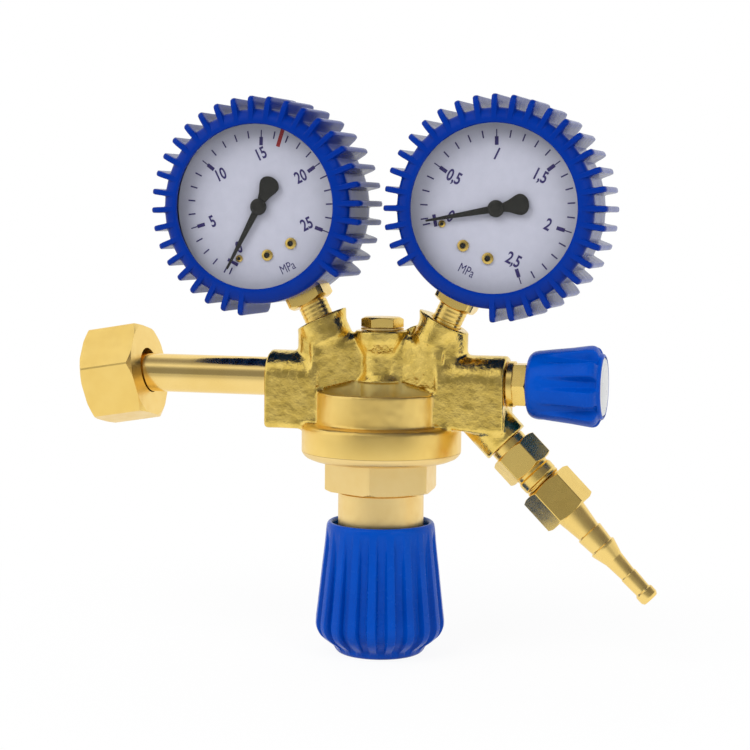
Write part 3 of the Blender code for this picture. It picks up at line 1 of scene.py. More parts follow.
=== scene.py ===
"""Gas cylinder regulator: smooth forgings, threads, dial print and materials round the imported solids.

Sizes are in millimetres in each piece's own frame, whose Z is its axis; a frame's matrix sets it in the row.
"""

import json
import math

import bmesh
import bpy
import numpy as np
from mathutils import Matrix, Vector


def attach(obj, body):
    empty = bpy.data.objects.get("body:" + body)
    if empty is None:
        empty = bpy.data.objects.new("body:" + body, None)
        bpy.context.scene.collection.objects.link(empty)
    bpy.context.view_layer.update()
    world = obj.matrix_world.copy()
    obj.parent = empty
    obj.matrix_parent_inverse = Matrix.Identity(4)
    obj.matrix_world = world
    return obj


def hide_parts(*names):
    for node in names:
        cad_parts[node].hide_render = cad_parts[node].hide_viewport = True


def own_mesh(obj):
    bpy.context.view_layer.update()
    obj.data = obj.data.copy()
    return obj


MM = 0.001
STEPS = 96
WELD = 0.0005
ROOT = "regulator"

# Axes, as in the solids
COLUMN_X = 98.0
NUT_TILT = math.radians(9.5)
NUT_CROSSING = 6.0
STEM_TILT = math.radians(26.0)
STEM_FOOT = 12.8
OUTLET_SLOPE = math.radians(45.5)
OUTLET_FOOT = 24.7
RELIEF_HEIGHT = 13.0
GAUGE_HEIGHT = 66.7

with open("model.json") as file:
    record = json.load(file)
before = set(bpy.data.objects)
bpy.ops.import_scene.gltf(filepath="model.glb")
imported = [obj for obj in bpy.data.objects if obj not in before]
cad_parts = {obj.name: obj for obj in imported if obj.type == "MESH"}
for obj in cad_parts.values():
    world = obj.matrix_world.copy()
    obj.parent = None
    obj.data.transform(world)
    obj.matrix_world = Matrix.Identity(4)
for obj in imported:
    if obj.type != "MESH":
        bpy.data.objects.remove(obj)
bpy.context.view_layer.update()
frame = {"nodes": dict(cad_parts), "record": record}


def shift(x, y, z):
    return Matrix.Translation((x * MM, y * MM, z * MM))


def turn(degrees, axis):
    return Matrix.Rotation(math.radians(degrees), 4, axis)


COLUMN = shift(COLUMN_X, 0.0, 0.0)
PIPE_AXIS = turn(90.0, "Y")
NUT_AXIS = shift(NUT_CROSSING, 0.0, 0.0) @ turn(90.0 - math.degrees(NUT_TILT), "Y")
VALVE_AXIS = COLUMN @ PIPE_AXIS
OUTLET_AXIS = COLUMN @ shift(OUTLET_FOOT, 0.0, 0.0) @ turn(90.0 + math.degrees(OUTLET_SLOPE), "Y")
RELIEF_AXIS = COLUMN @ shift(STEM_FOOT, 0.0, RELIEF_HEIGHT) @ turn(-90.0, "X")


def stem_axis(side):
    return COLUMN @ shift(side * STEM_FOOT, 0.0, 0.0) @ turn(side * math.degrees(STEM_TILT), "Y")


def dial_axis(side):
    return stem_axis(side) @ shift(0.0, 0.0, GAUGE_HEIGHT) @ turn(90.0, "X")


# Mesh helpers

def add_piece(name, verts, faces, axis, material, body=ROOT, nodes=(), sharp=30.0, bevel=0.0):
    """A mesh in millimetres on an axis, riding on a body and standing for CAD nodes."""
    bm = bmesh.new()
    fill(bm, in_metres(verts), faces)
    return add_bmesh(name, bm, axis, material, body, nodes, sharp, bevel)


def in_metres(verts):
    return [(x * MM, y * MM, z * MM) for x, y, z in verts]


def fill(bm, verts, faces):
    """Add verts and the faces between them to a mesh."""
    points = [bm.verts.new(vert) for vert in verts]
    for face in faces:
        bm.faces.new([points[i] for i in face])


def add_bmesh(name, bm, axis, material, body=ROOT, nodes=(), sharp=30.0, bevel=0.0):
    bmesh.ops.remove_doubles(bm, verts=bm.verts, dist=WELD * MM)
    bmesh.ops.dissolve_degenerate(bm, edges=bm.edges, dist=WELD * MM)
    bmesh.ops.recalc_face_normals(bm, faces=bm.faces)
    bm.transform(axis)
    mesh = bpy.data.meshes.new(name)
    bm.to_mesh(mesh)
    bm.free()
    mesh.materials.append(turned_brass(material, axis) if isinstance(material, str) else material)
    mesh.shade_smooth()
    mesh.set_sharp_from_angle(angle=math.radians(sharp))
    obj = bpy.data.objects.new(name, mesh)
    bpy.context.collection.objects.link(obj)
    if bevel > 0.0:
        rounding = obj.modifiers.new("edges", "BEVEL")
        rounding.width = bevel * MM
        rounding.segments = 2
        rounding.limit_method = "ANGLE"
        rounding.angle_limit = math.radians(sharp)
        rounding.harden_normals = True
    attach(obj, body)
    if nodes:
        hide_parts(*nodes)
    return obj


def around(section, count=STEPS, closed=True):
    """Verts and faces of a shape whose section, a list of (radius, height), may change with the angle."""
    rows = []
    for i in range(count):
        angle = 2.0 * math.pi * i / count
        rows.append(swung(section(angle), angle))
    return skin(rows, closed)


def swung(section, angle):
    return [(r * math.cos(angle), r * math.sin(angle), z) for r, z in section]


def skin(rows, closed=True):
    """Verts and faces between rows of points in a ring; closed rows join their last point to their first."""
    count, width = len(rows), len(rows[0])
    verts = [point for row in rows for point in row]
    faces = []
    for i in range(count):
        low, high = i * width, (i + 1) % count * width
        for j in range(width if closed else width - 1):
            k = (j + 1) % width
            faces.append((low + j, high + j, high + k, low + k))
    return verts, faces


def soften(profile, radius, closed=True):
    """Round the corners of a profile."""
    count = len(profile)
    result = []
    for i, corner in enumerate(profile):
        if corner[0] <= 0.0 or not closed and i in (0, count - 1):
            result.append(corner)
            continue
        legs = []
        for other in (profile[i - 1], profile[(i + 1) % count]):
            dx, dz = other[0] - corner[0], other[1] - corner[1]
            span = math.hypot(dx, dz)
            reach = min(radius, span * 0.45) / max(span, 1e-9)
            legs.append((corner[0] + dx * reach, corner[1] + dz * reach))
        for t in (0.0, 0.33, 0.67, 1.0):
            a, b, c = (1.0 - t) ** 2, 2.0 * t * (1.0 - t), t * t
            result.append((a * legs[0][0] + b * corner[0] + c * legs[1][0],
                           a * legs[0][1] + b * corner[1] + c * legs[1][1]))
    return result


def lathe(name, profile, axis, material, body=ROOT, nodes=(), edge=0.25, count=STEPS, closed=True):
    """A turned piece; edge rounds its corners."""
    rounded = soften(profile, edge, closed) if edge > 0.0 else profile
    verts, faces = around(lambda angle: rounded, count, closed)
    return add_piece(name, verts, faces, axis, material, body, nodes)


def hex_radius(angle, flats, turned):
    """Distance to the side of a hexagon whose corners are at 30 degrees and every 60 after it."""
    lean = (angle - turned + math.pi / 6.0) % (math.pi / 3.0) - math.pi / 6.0
    return flats / 2.0 / math.cos(lean)


def hex_side(flats, low, high, chamfer_low, chamfer_high, turned):
    """A section's outer run, from the low face to the high one, with 30 degree chamfers."""
    slope = math.tan(math.radians(30.0))
    corner = flats / 2.0 / math.cos(math.pi / 6.0)

    def run(angle):
        radius = hex_radius(angle, flats, turned)
        points = []
        for level, chamfer, sign in ((low, chamfer_low, 1.0), (high, chamfer_high, -1.0)):
            land = corner - chamfer / slope
            pair = [(min(land, radius), level),
                    (radius, level + sign * max(0.0, (radius - land) * slope))]
            points += pair if sign > 0.0 else pair[::-1]
        return points
    return run


def thread_run(radius, depth, pitch, low, high, per_turn=6):
    """Heights and radii of a screw thread that fades out at both ends; depth is cut inwards."""
    count = max(4, int((high - low) / pitch * per_turn))

    def run(angle):
        points = []
        for i in range(count + 1):
            z = low + (high - low) * i / count
            phase = (z / pitch - angle / (2.0 * math.pi)) % 1.0
            groove = min(1.0, max(0.0, 1.8 * abs(2.0 * phase - 1.0) - 0.4))
            fade = min(1.0, (z - low) / pitch * 2.0, (high - z) / pitch * 2.0)
            points.append((radius - depth * groove * max(0.0, fade), z))
        return points
    return run


# Materials

def shader_of(name, colour, roughness, metallic=0.0, **sockets):
    """A new Principled material; sockets are further values, with _ for a space in their names."""
    mat = bpy.data.materials.new(name)
    mat.use_nodes = True
    shader = mat.node_tree.nodes["Principled BSDF"]
    shader.inputs["Base Color"].default_value = (*colour, 1.0)
    shader.inputs["Roughness"].default_value = roughness
    shader.inputs["Metallic"].default_value = metallic
    for key, value in sockets.items():
        shader.inputs[key.replace("_", " ")].default_value = value
    return mat


def noise(mat, per_metre, detail=4.0, stretch=(1.0, 1.0, 1.0), rough=0.55, axis=Matrix.Identity(4)):
    """A noise in the coordinates of an axis; stretch squeezes it along them."""
    nodes, links = mat.node_tree.nodes, mat.node_tree.links
    place = nodes.new("ShaderNodeTexCoord")
    mapping = nodes.new("ShaderNodeMapping")
    mapping.vector_type = "TEXTURE"
    mapping.inputs["Location"].default_value = axis.translation
    mapping.inputs["Rotation"].default_value = axis.to_euler()
    mapping.inputs["Scale"].default_value = [1.0 / part for part in stretch]
    pattern = nodes.new("ShaderNodeTexNoise")
    pattern.inputs["Scale"].default_value = per_metre
    pattern.inputs["Detail"].default_value = detail
    pattern.inputs["Roughness"].default_value = rough
    links.new(place.outputs["Object"], mapping.inputs["Vector"])
    links.new(mapping.outputs["Vector"], pattern.inputs["Vector"])
    return pattern.outputs["Fac"]


def between(mat, fac, low, high, start=0.3, end=0.7):
    """Run a noise between two colours, or between two numbers, and feed the shader with it."""
    nodes, links = mat.node_tree.nodes, mat.node_tree.links
    shader = nodes["Principled BSDF"]
    if isinstance(low, tuple):
        ramp = nodes.new("ShaderNodeValToRGB")
        ramp.color_ramp.elements[0].position = start
        ramp.color_ramp.elements[0].color = (*low, 1.0)
        ramp.color_ramp.elements[1].position = end
        ramp.color_ramp.elements[1].color = (*high, 1.0)
        links.new(fac, ramp.inputs["Fac"])
        links.new(ramp.outputs["Color"], shader.inputs["Base Color"])
        return
    span = nodes.new("ShaderNodeMapRange")
    for key, value in zip(("From Min", "From Max", "To Min", "To Max"), (start, end, low, high)):
        span.inputs[key].default_value = value
    links.new(fac, span.inputs["Value"])
    links.new(span.outputs["Result"], shader.inputs["Roughness"])


def bump(mat, *layers):
    """Stack bump layers of (noise, strength, depth in millimetres)."""
    nodes, links = mat.node_tree.nodes, mat.node_tree.links
    normal = None
    for fac, strength, depth in layers:
        node = nodes.new("ShaderNodeBump")
        node.inputs["Strength"].default_value = strength
        node.inputs["Distance"].default_value = depth * MM
        links.new(fac, node.inputs["Height"])
        if normal:
            links.new(normal, node.inputs["Normal"])
        normal = node.outputs["Normal"]
    links.new(normal, nodes["Principled BSDF"].inputs["Normal"])


FORGED_DEEP, FORGED_PALE, FORGED_MEAN = (0.72, 0.51, 0.11), (0.93, 0.68, 0.18), (0.86, 0.62, 0.16)
FORGED_SMOOTH, FORGED_ROUGH = 0.13, 0.24
SCRATCH = (0.08, 1.0, 1.4)


def forged_brass():
    """Bright brass with the dents, pits and crossed scratches of a forging."""
    mat = shader_of("forged_brass_look", FORGED_MEAN, roughness=0.25, metallic=1.0)
    between(mat, noise(mat, per_metre=260.0, detail=6.0), FORGED_DEEP, FORGED_PALE, start=0.35, end=0.66)
    between(mat, noise(mat, per_metre=520.0, detail=5.0), FORGED_SMOOTH, FORGED_ROUGH)
    dents = noise(mat, per_metre=170.0, detail=2.0)
    pits = noise(mat, per_metre=450.0, detail=4.0)
    grain = noise(mat, per_metre=1300.0, detail=5.0, rough=0.7)
    rising = noise(mat, per_metre=800.0, detail=3.0, stretch=SCRATCH, axis=turn(35.0, "Y"))
    falling = noise(mat, per_metre=900.0, detail=3.0, stretch=SCRATCH, axis=turn(-55.0, "Y"))
    bump(mat, (dents, 0.5, 0.5), (pits, 0.6, 0.4), (grain, 0.3, 0.12),
         (rising, 0.3, 0.08), (falling, 0.3, 0.08))
    return mat


# Turned finishes: colour, shade and roughness. The recess entry is a paler brass that is painted light: it
# stands in for the glow bounced round the hollow.
TURNINGS = {
    "machined": ((0.95, 0.72, 0.32), (0.91, 0.67, 0.27), 0.42),
    "brushed": ((0.97, 0.70, 0.22), (0.92, 0.64, 0.18), 0.34),
    "drawn": ((0.93, 0.68, 0.25), (0.88, 0.62, 0.20), 0.15),
    "hexagon": ((0.92, 0.67, 0.20), (0.86, 0.60, 0.16), 0.26),
    "tail": ((0.97, 0.71, 0.24), (0.92, 0.65, 0.20), 0.30),
    # Painted light: paler, brighter brass than the machined finish, for the glow bounced round the recess's
    # hollow.
    "recess": ((1.0, 0.84, 0.34), (0.98, 0.80, 0.30), 0.5),
    "steel": ((0.60, 0.61, 0.63), (0.50, 0.51, 0.53), 0.28)}
turnings = {}


def turned_brass(kind, axis):
    """Metal with the fine rings that a lathe tool leaves round an axis, and faint handling marks."""
    key = (kind, *(round(value, 4) for row in axis for value in row))
    if key not in turnings:
        colour, shade, roughness = TURNINGS[kind]
        mat = shader_of(f"{kind}_look_{len(turnings)}", colour, roughness, 1.0)
        between(mat, noise(mat, per_metre=60.0, detail=3.0), shade, colour)
        between(mat, noise(mat, per_metre=300.0, detail=5.0), roughness * 0.85, roughness * 1.2)
        rings = noise(mat, per_metre=60.0, detail=2.0, stretch=(0.4, 0.4, 110.0), axis=axis)
        marks = noise(mat, per_metre=900.0, detail=3.0)
        bump(mat, (rings, 0.10, 0.02), (marks, 0.07, 0.03))
        turnings[key] = mat
    return turnings[key]


def moulded(name, colour, deep, roughness, grain, **sockets):
    """Coloured plastic or rubber with a fine mould grain and slight variation."""
    mat = shader_of(name, colour, roughness, **sockets)
    between(mat, noise(mat, per_metre=70.0, detail=4.0), deep, colour)
    between(mat, noise(mat, per_metre=330.0, detail=4.0), roughness * 0.82, roughness * 1.2)
    fine = noise(mat, per_metre=2600.0, detail=2.0)
    waves = noise(mat, per_metre=120.0, detail=2.0)
    bump(mat, (fine, grain, 0.02), (waves, 0.06, 0.2))
    return mat


def speckled(name, low, high, roughness, per_metre, depth, metallic=0.0):
    """A plain surface that varies between two colours, with a faint skin."""
    mat = shader_of(name, high, roughness, metallic)
    between(mat, noise(mat, per_metre, detail=4.0), low, high)
    bump(mat, (noise(mat, per_metre * 4.0, detail=3.0), 0.2, depth))
    return mat


FORGED = forged_brass()
KNOB = moulded("knob_blue_look", (0.0, 0.066, 0.43), (0.0, 0.055, 0.38), roughness=0.25, grain=0.10,
               Specular_IOR_Level=0.10)
BOOT = moulded("boot_blue_look", (0.0, 0.026, 0.25), (0.0, 0.021, 0.22), roughness=0.22, grain=0.08,
               Specular_IOR_Level=0.1, Sheen_Weight=0.1, Sheen_Roughness=0.15)
CAP = moulded("cap_white_look", (0.66, 0.67, 0.66), (0.60, 0.61, 0.60), roughness=0.32, grain=0.06)
DIAL = speckled("dial_white_look", (0.50, 0.51, 0.60), (0.53, 0.54, 0.63), roughness=0.5, per_metre=300.0,
                depth=0.004)
PRINT = speckled("dial_print_look", (0.028, 0.020, 0.11), (0.034, 0.024, 0.13), roughness=0.55,
                 per_metre=900.0, depth=0.004)
RED = speckled("dial_red_look", (0.25, 0.012, 0.014), (0.31, 0.016, 0.018), roughness=0.5, per_metre=900.0,
               depth=0.004)
BLACK = speckled("pointer_black_look", (0.012, 0.012, 0.010), (0.022, 0.022, 0.018), roughness=0.42,
                 per_metre=500.0, depth=0.006)
CASE = speckled("case_steel_look", (0.035, 0.036, 0.040), (0.060, 0.061, 0.066), roughness=0.4,
                per_metre=400.0, depth=0.02, metallic=0.6)
RUBBER = speckled("rubber_look", (0.014, 0.014, 0.015), (0.024, 0.024, 0.026), roughness=0.65,
                  per_metre=500.0, depth=0.02)
FIBRE = speckled("fibre_look", (0.60, 0.55, 0.44), (0.72, 0.68, 0.58), roughness=0.8, per_metre=900.0,
                 depth=0.05)
LENS = shader_of("lens_clear_look", (0.01, 0.01, 0.012), roughness=0.03, Alpha=0.05, IOR=1.46)

CARRIED = {"forged_brass": FORGED, "machined_brass": turned_brass("machined", COLUMN),
           "steel": turned_brass("steel", COLUMN), "knob_blue": KNOB, "boot_blue": BOOT,
           "case_steel": CASE, "lens_clear": LENS, "dial_white": DIAL, "pointer_black": BLACK,
           "rubber": RUBBER, "fibre": FIBRE, "cap_white": CAP}
for entry in frame["record"]["subparts"]:
    node = frame["nodes"][entry["node"]]
    for holder in node.material_slots:
        holder.material = CARRIED[entry["material_slot"]]


# Forged body, as a blended field sampled on a grid

def blend_min(a, b, width):
    """Union of two fields with a fillet."""
    share = np.clip(0.5 + 0.5 * (b - a) / width, 0.0, 1.0)
    return b * (1.0 - share) + a * share - width * share * (1.0 - share)


def capped(side, end, edge):
    """A field with a side and an end, and a rounded edge between them."""
    a, b = side + edge, end + edge
    return np.hypot(np.maximum(a, 0.0), np.maximum(b, 0.0)) + np.minimum(np.maximum(a, b), 0.0) - edge


def rod_field(points, base, direction, radius, low, high, edge=0.5):
    """A cylinder from low to high along a direction."""
    offset = [axis - start for axis, start in zip(points, base)]
    along = sum(part * step for part, step in zip(offset, direction))
    square = sum(part * part for part in offset)
    away = np.sqrt(np.maximum(square - along * along, 0.0))
    return capped(away - radius, np.abs(along - (low + high) / 2.0) - (high - low) / 2.0, edge)


def bar_field(points, half, crown, floor, low, high, corner=2.0, edge=0.9):
    """A bar along X with a round top and a flat floor."""
    x, y, z = points
    arch = np.hypot(y, z - crown) - half
    base = capped(np.abs(y) - half, floor - z, corner)
    side = np.where(z > crown, arch, base)
    return capped(side, np.abs(x - (low + high) / 2.0) - (high - low) / 2.0, edge)


# Forged body's sizes from the column's axis: fillets, then each form's radii, heights and ends

WEB_FILLET, STEM_FILLET, BOSS_FILLET, BLOCK_FILLET = 0.9, 0.6, 1.5, 1.6
OUTLET_FILLET, HOUSING_FILLET, RELIEF_FILLET, FLANGE_FILLET, TROUGH_FILLET = 1.4, 1.9, 1.2, 1.2, 0.8
TROUGH_OUTER, TROUGH_CORE, TROUGH_FLOOR, TROUGH_WEB = 20.7, 8.0, -13.6, 4.8
CONE_RADIUS, CONE_HEIGHT = 20.4, -3.4
CONE_ACROSS, CONE_UP = 0.230, 0.973
RING_RADIUS, RING_MIDDLE, RING_HALF, RING_EDGE = 22.8, -10.5, 6.5, 0.7
FLANGE_RADIUS, FLANGE_MIDDLE, FLANGE_HALF, FLANGE_EDGE = 27.95, -17.3, 2.0, 1.9
WEB_THIN, WEB_GROWTH, WEB_GROWTH_START, WEB_GROWTH_RUN = 4.6, 4.2, 8.5, 13.0
WEB_TOP, WEB_FLOOR, WEB_END, WEB_CORNER = 16.5, -14.5, 23.6, 1.0
NECK_WAIST, NECK_FLARE, NECK_TOP = 7.4, 2.0, 17.4
NECK_UPPER_START, NECK_UPPER_RUN = 8.0, 7.0
NECK_LOWER_START, NECK_LOWER_RUN = 3.0, 5.0
BLOCK_HALF = 9.6
OUTLET_BLOCK_LOW, OUTLET_BLOCK_HIGH, OUTLET_BLOCK_FLOOR = 21.4, 44.9, -17.0
INLET_BLOCK_LOW, INLET_BLOCK_HIGH, INLET_BLOCK_FLOOR = -40.5, -21.4, -17.5
SLANT_START, SLANT_HEIGHT, SLANT_FALL, SLANT_EDGE = 23.8, -15.0, 0.17, 1.2
OUTLET_BOSS_RADIUS, OUTLET_BOSS_END = 8.4, 28.5
BOSS_RADIUS, BOSS_TAPER, BOSS_FULL, BOSS_TAPER_RUN = 8.6, 4.6, 15.0, 12.0
BOSS_START, BOSS_END, BOSS_EDGE = 1.0, 23.0, 0.5
SIDE_COLUMN_X, SIDE_COLUMN_RADIUS, SIDE_COLUMN_FLATNESS = 22.01, 8.55, 1.16
SIDE_COLUMN_LOW, SIDE_COLUMN_HIGH = -6.0, 30.0
RELIEF_RADIUS, RELIEF_END = 6.4, 12.0
BORE_EDGE = 0.1


def trough_field(points):
    """The turned recess inside the ring, under a cone that arches the web's foot."""
    x, y, z = points
    away = np.hypot(x, y)
    cone = (z - CONE_HEIGHT) * CONE_UP + (away - CONE_RADIUS) * CONE_ACROSS
    ring = np.maximum(away - TROUGH_OUTER, TROUGH_CORE - away)
    return np.maximum(np.maximum(ring, cone), np.maximum(TROUGH_FLOOR - z, TROUGH_WEB - np.abs(y)))


def housing_field(points):
    """The round housing's ring and the rounded top of its flange."""
    x, y, z = points
    away = np.hypot(x, y)
    ring = capped(away - RING_RADIUS, np.abs(z - RING_MIDDLE) - RING_HALF, RING_EDGE)
    flange = capped(away - FLANGE_RADIUS, np.abs(z - FLANGE_MIDDLE) - FLANGE_HALF, FLANGE_EDGE)
    return blend_min(ring, flange, FLANGE_FILLET)


ORIGIN = (0.0, 0.0, 0.0)
ALONG, BACK, UP = (1.0, 0.0, 0.0), (0.0, 1.0, 0.0), (0.0, 0.0, 1.0)
OUTLET_BASE = (OUTLET_FOOT, 0.0, 0.0)
OUTLET_WAY = (math.cos(OUTLET_SLOPE), 0.0, -math.sin(OUTLET_SLOPE))
RELIEF_BASE = (STEM_FOOT, 0.0, RELIEF_HEIGHT)
STEMS = [((side * STEM_FOOT, 0.0, 0.0), (side * math.sin(STEM_TILT), 0.0, math.cos(STEM_TILT)))
         for side in (-1.0, 1.0)]
# Bores as base, direction, radius, start and end
BORES = [
    (ORIGIN, UP, 5.6, -7.0, 20.0),
    (ORIGIN, ALONG, 7.15, -44.0, -30.5),
    (ORIGIN, ALONG, 5.5, 22.0, 48.0),
    (OUTLET_BASE, OUTLET_WAY, 5.3, 18.7, 31.0),
    (RELIEF_BASE, BACK, 4.0, 2.0, 14.0),
    (ORIGIN, UP, 19.5, -22.0, -16.3)]
BORES += [(foot, way, 5.5, 14.7, 26.0) for foot, way in STEMS]


def web_field(points):
    """The plate between the end blocks, thinnest at the neck, and the waisted neck through it."""
    x, y, z = points
    half = WEB_THIN + WEB_GROWTH * np.clip((np.abs(x) - WEB_GROWTH_START) / WEB_GROWTH_RUN, 0.0, 1.0)
    web = bar_field(points, half, WEB_TOP - half, WEB_FLOOR, -WEB_END, WEB_END, WEB_CORNER)
    upper = (z - NECK_UPPER_START) / NECK_UPPER_RUN
    lower = (NECK_LOWER_START - z) / NECK_LOWER_RUN
    flare = np.clip(np.maximum(upper, lower), 0.0, 1.0)
    waist = NECK_WAIST + NECK_FLARE * flare * flare * (3.0 - 2.0 * flare)
    return blend_min(web, rod_field(points, ORIGIN, UP, waist, WEB_FLOOR, NECK_TOP), WEB_FILLET)


def ends_field(points):
    """The inlet block, and the outlet block with its slanted floor and sloping boss."""
    x, y, z = points
    ends = bar_field(points, BLOCK_HALF, 0.0, OUTLET_BLOCK_FLOOR, OUTLET_BLOCK_LOW, OUTLET_BLOCK_HIGH)
    ends = capped(ends, SLANT_HEIGHT - SLANT_FALL * (x - SLANT_START) - z, SLANT_EDGE)
    boss = rod_field(points, OUTLET_BASE, OUTLET_WAY, OUTLET_BOSS_RADIUS, 0.0, OUTLET_BOSS_END)
    ends = blend_min(ends, boss, OUTLET_FILLET)
    inlet = bar_field(points, BLOCK_HALF, 0.0, INLET_BLOCK_FLOOR, INLET_BLOCK_LOW, INLET_BLOCK_HIGH)
    return np.minimum(ends, inlet)


def stem_field(points, side, foot, way):
    """A tilted gauge boss that tapers into the web, on an upright column."""
    x, y, z = points
    reach = (x * side - STEM_FOOT) * math.sin(STEM_TILT) + z * math.cos(STEM_TILT)
    radius = BOSS_RADIUS - BOSS_TAPER * np.clip((BOSS_FULL - reach) / BOSS_TAPER_RUN, 0.0, 1.0)
    boss = rod_field(points, foot, way, radius, BOSS_START, BOSS_END)
    oval = (x, y * SIDE_COLUMN_FLATNESS, z)
    column = rod_field(oval, (side * SIDE_COLUMN_X, 0.0, 0.0), UP, SIDE_COLUMN_RADIUS,
                       SIDE_COLUMN_LOW, SIDE_COLUMN_HIGH)
    return blend_min(boss, capped(column, reach - BOSS_END, BOSS_EDGE), STEM_FILLET)


def body_field(points):
    """The whole forging with its turned recess and drilled bores."""
    solid = web_field(points)
    for side, (foot, way) in zip((-1.0, 1.0), STEMS):
        solid = blend_min(solid, stem_field(points, side, foot, way), BOSS_FILLET)
    solid = blend_min(solid, ends_field(points), BLOCK_FILLET)
    solid = blend_min(solid, housing_field(points), HOUSING_FILLET)
    relief = rod_field(points, RELIEF_BASE, BACK, RELIEF_RADIUS, 0.0, RELIEF_END)
    solid = blend_min(solid, relief, RELIEF_FILLET)
    solid = -blend_min(-solid, trough_field(points), TROUGH_FILLET)
    for base, direction, radius, low, high in BORES:
        solid = np.maximum(solid, -rod_field(points, base, direction, radius, low, high, BORE_EDGE))
    return solid


def forging_grain(shape, cells, depth):
    """Seeded smooth noise for the skin that a forging die leaves."""
    spectrum = np.fft.rfftn(np.random.default_rng(11).standard_normal(shape))
    for axis, count in enumerate(shape):
        wave = np.fft.rfftfreq(count) if axis == 2 else np.fft.fftfreq(count)
        place = [1, 1, 1]
        place[axis] = len(wave)
        spectrum *= np.exp(-2.0 * (math.pi * cells * wave.reshape(place)) ** 2)
    field = np.fft.irfftn(spectrum, shape)
    return field * (depth / field.std())


def surface_net(field, origin, step):
    """Vertices and quads of a sampled field's zero level."""
    size = np.array(field.shape) - 1
    total = np.zeros((*size, 3))
    crossings = np.zeros(size)
    edges = []
    for axis in range(3):
        low, high = [slice(None)] * 3, [slice(None)] * 3
        low[axis], high[axis] = slice(0, -1), slice(1, None)
        start, end = field[tuple(low)], field[tuple(high)]
        cross = (start < 0.0) != (end < 0.0)
        part = np.where(cross, start / np.where(cross, start - end, 1.0), 0.0)
        edges.append((axis, cross, start < 0.0))
        first, second = [i for i in range(3) if i != axis]
        for u in (0, 1):
            for v in (0, 1):
                cut = [slice(None)] * 3
                cut[first] = slice(u, u + size[first])
                cut[second] = slice(v, v + size[second])
                here = cross[tuple(cut)]
                total[..., axis] += part[tuple(cut)]
                total[..., first] += u * here
                total[..., second] += v * here
                crossings += here
    cells = np.argwhere(crossings > 0)
    ids = np.full(size, -1)
    ids[tuple(cells.T)] = np.arange(len(cells))
    verts = (cells + total[tuple(cells.T)] / crossings[tuple(cells.T)][:, None]) * step + np.array(origin)
    faces = []
    for axis, cross, inside in edges:
        first, second = [i for i in range(3) if i != axis]
        spots = np.argwhere(cross)
        flip = inside[tuple(spots.T)] == (axis != 1)
        corners = []
        for u, v in ((1, 1), (0, 1), (0, 0), (1, 0)):
            cell = spots.copy()
            cell[:, first] -= u
            cell[:, second] -= v
            corners.append(ids[tuple(cell.T)])
        quads = np.stack(corners, axis=1)
        quads[~flip] = quads[~flip][:, ::-1]
        faces.append(quads)
    return verts, np.concatenate(faces)


GRID_STEP = 0.42
GRID_LOW, GRID_HIGH = np.array((-42.5, -29.0, -28.0)), np.array((52.5, 29.0, 27.0))
GRAIN_CELLS, GRAIN_DEPTH = 2.2, 0.022
# Margins that pick the faces of the recess, whose paler brass is painted bounce light, and the faces of the
# housing.
TROUGH_MARGIN, HOUSING_MARGIN = 0.5, 0.35


def forged_body():
    """The forging's skin, with turned finishes on its housing and in its recess; the recess's paler brass is
    painted light, for the glow bounced round the hollow.
    """
    counts = np.ceil((GRID_HIGH - GRID_LOW) / GRID_STEP).astype(int) + 1
    axes = [GRID_LOW[i] + GRID_STEP * np.arange(counts[i]) for i in range(3)]
    points = np.meshgrid(*axes, indexing="ij")
    field = body_field(points) + forging_grain(tuple(counts), GRAIN_CELLS, GRAIN_DEPTH)
    verts, faces = surface_net(field, GRID_LOW, GRID_STEP)
    obj = add_piece("body_forging", verts.tolist(), faces.tolist(), COLUMN, FORGED,
                    nodes=("body",), sharp=60.0)
    relax = obj.modifiers.new("skin", "SMOOTH")
    relax.factor = 0.4
    relax.iterations = 1
    centres = np.array([face.center[:] for face in obj.data.polygons]).T / MM
    centres = centres - np.array([[COLUMN_X], [0.0], [0.0]])
    obj.data.materials.append(turned_brass("brushed", COLUMN))
    # The recess's brass is paler than the rest: painted light for the glow bounced round the hollow.
    obj.data.materials.append(turned_brass("recess", COLUMN))
    on_housing = np.abs(housing_field(centres)) < HOUSING_MARGIN
    turned = np.where(trough_field(centres) < TROUGH_MARGIN, 2, on_housing)
    obj.data.polygons.foreach_set("material_index", turned.tolist())


forged_body()
CUP_WALL = [(19.5, -17.2), (28.02, -17.2), (28.02, -24.85), (24.8, -24.85), (24.8, -18.9), (19.5, -18.9)]
lathe("diaphragm_housing", CUP_WALL, COLUMN, "brushed", edge=0.04, count=160)


# Turned and hexagon pieces

HEX_STEPS = 180


def hexed(name, inner, axis, material, flats, low, high, chamfers, turned=0.0, body=ROOT, nodes=(), head=()):
    """A hexagon with a turned run before it; inner is the run that closes the section on the axis side."""
    side = hex_side(flats, low, high, chamfers[0], chamfers[1], math.radians(turned))
    inside = inner if callable(inner) else (lambda angle: list(inner))
    verts, faces = around(lambda angle: list(head) + side(angle) + inside(angle), HEX_STEPS)
    return add_piece(name, verts, faces, axis, material, body, nodes,
                     sharp=24.0, bevel=0.14)


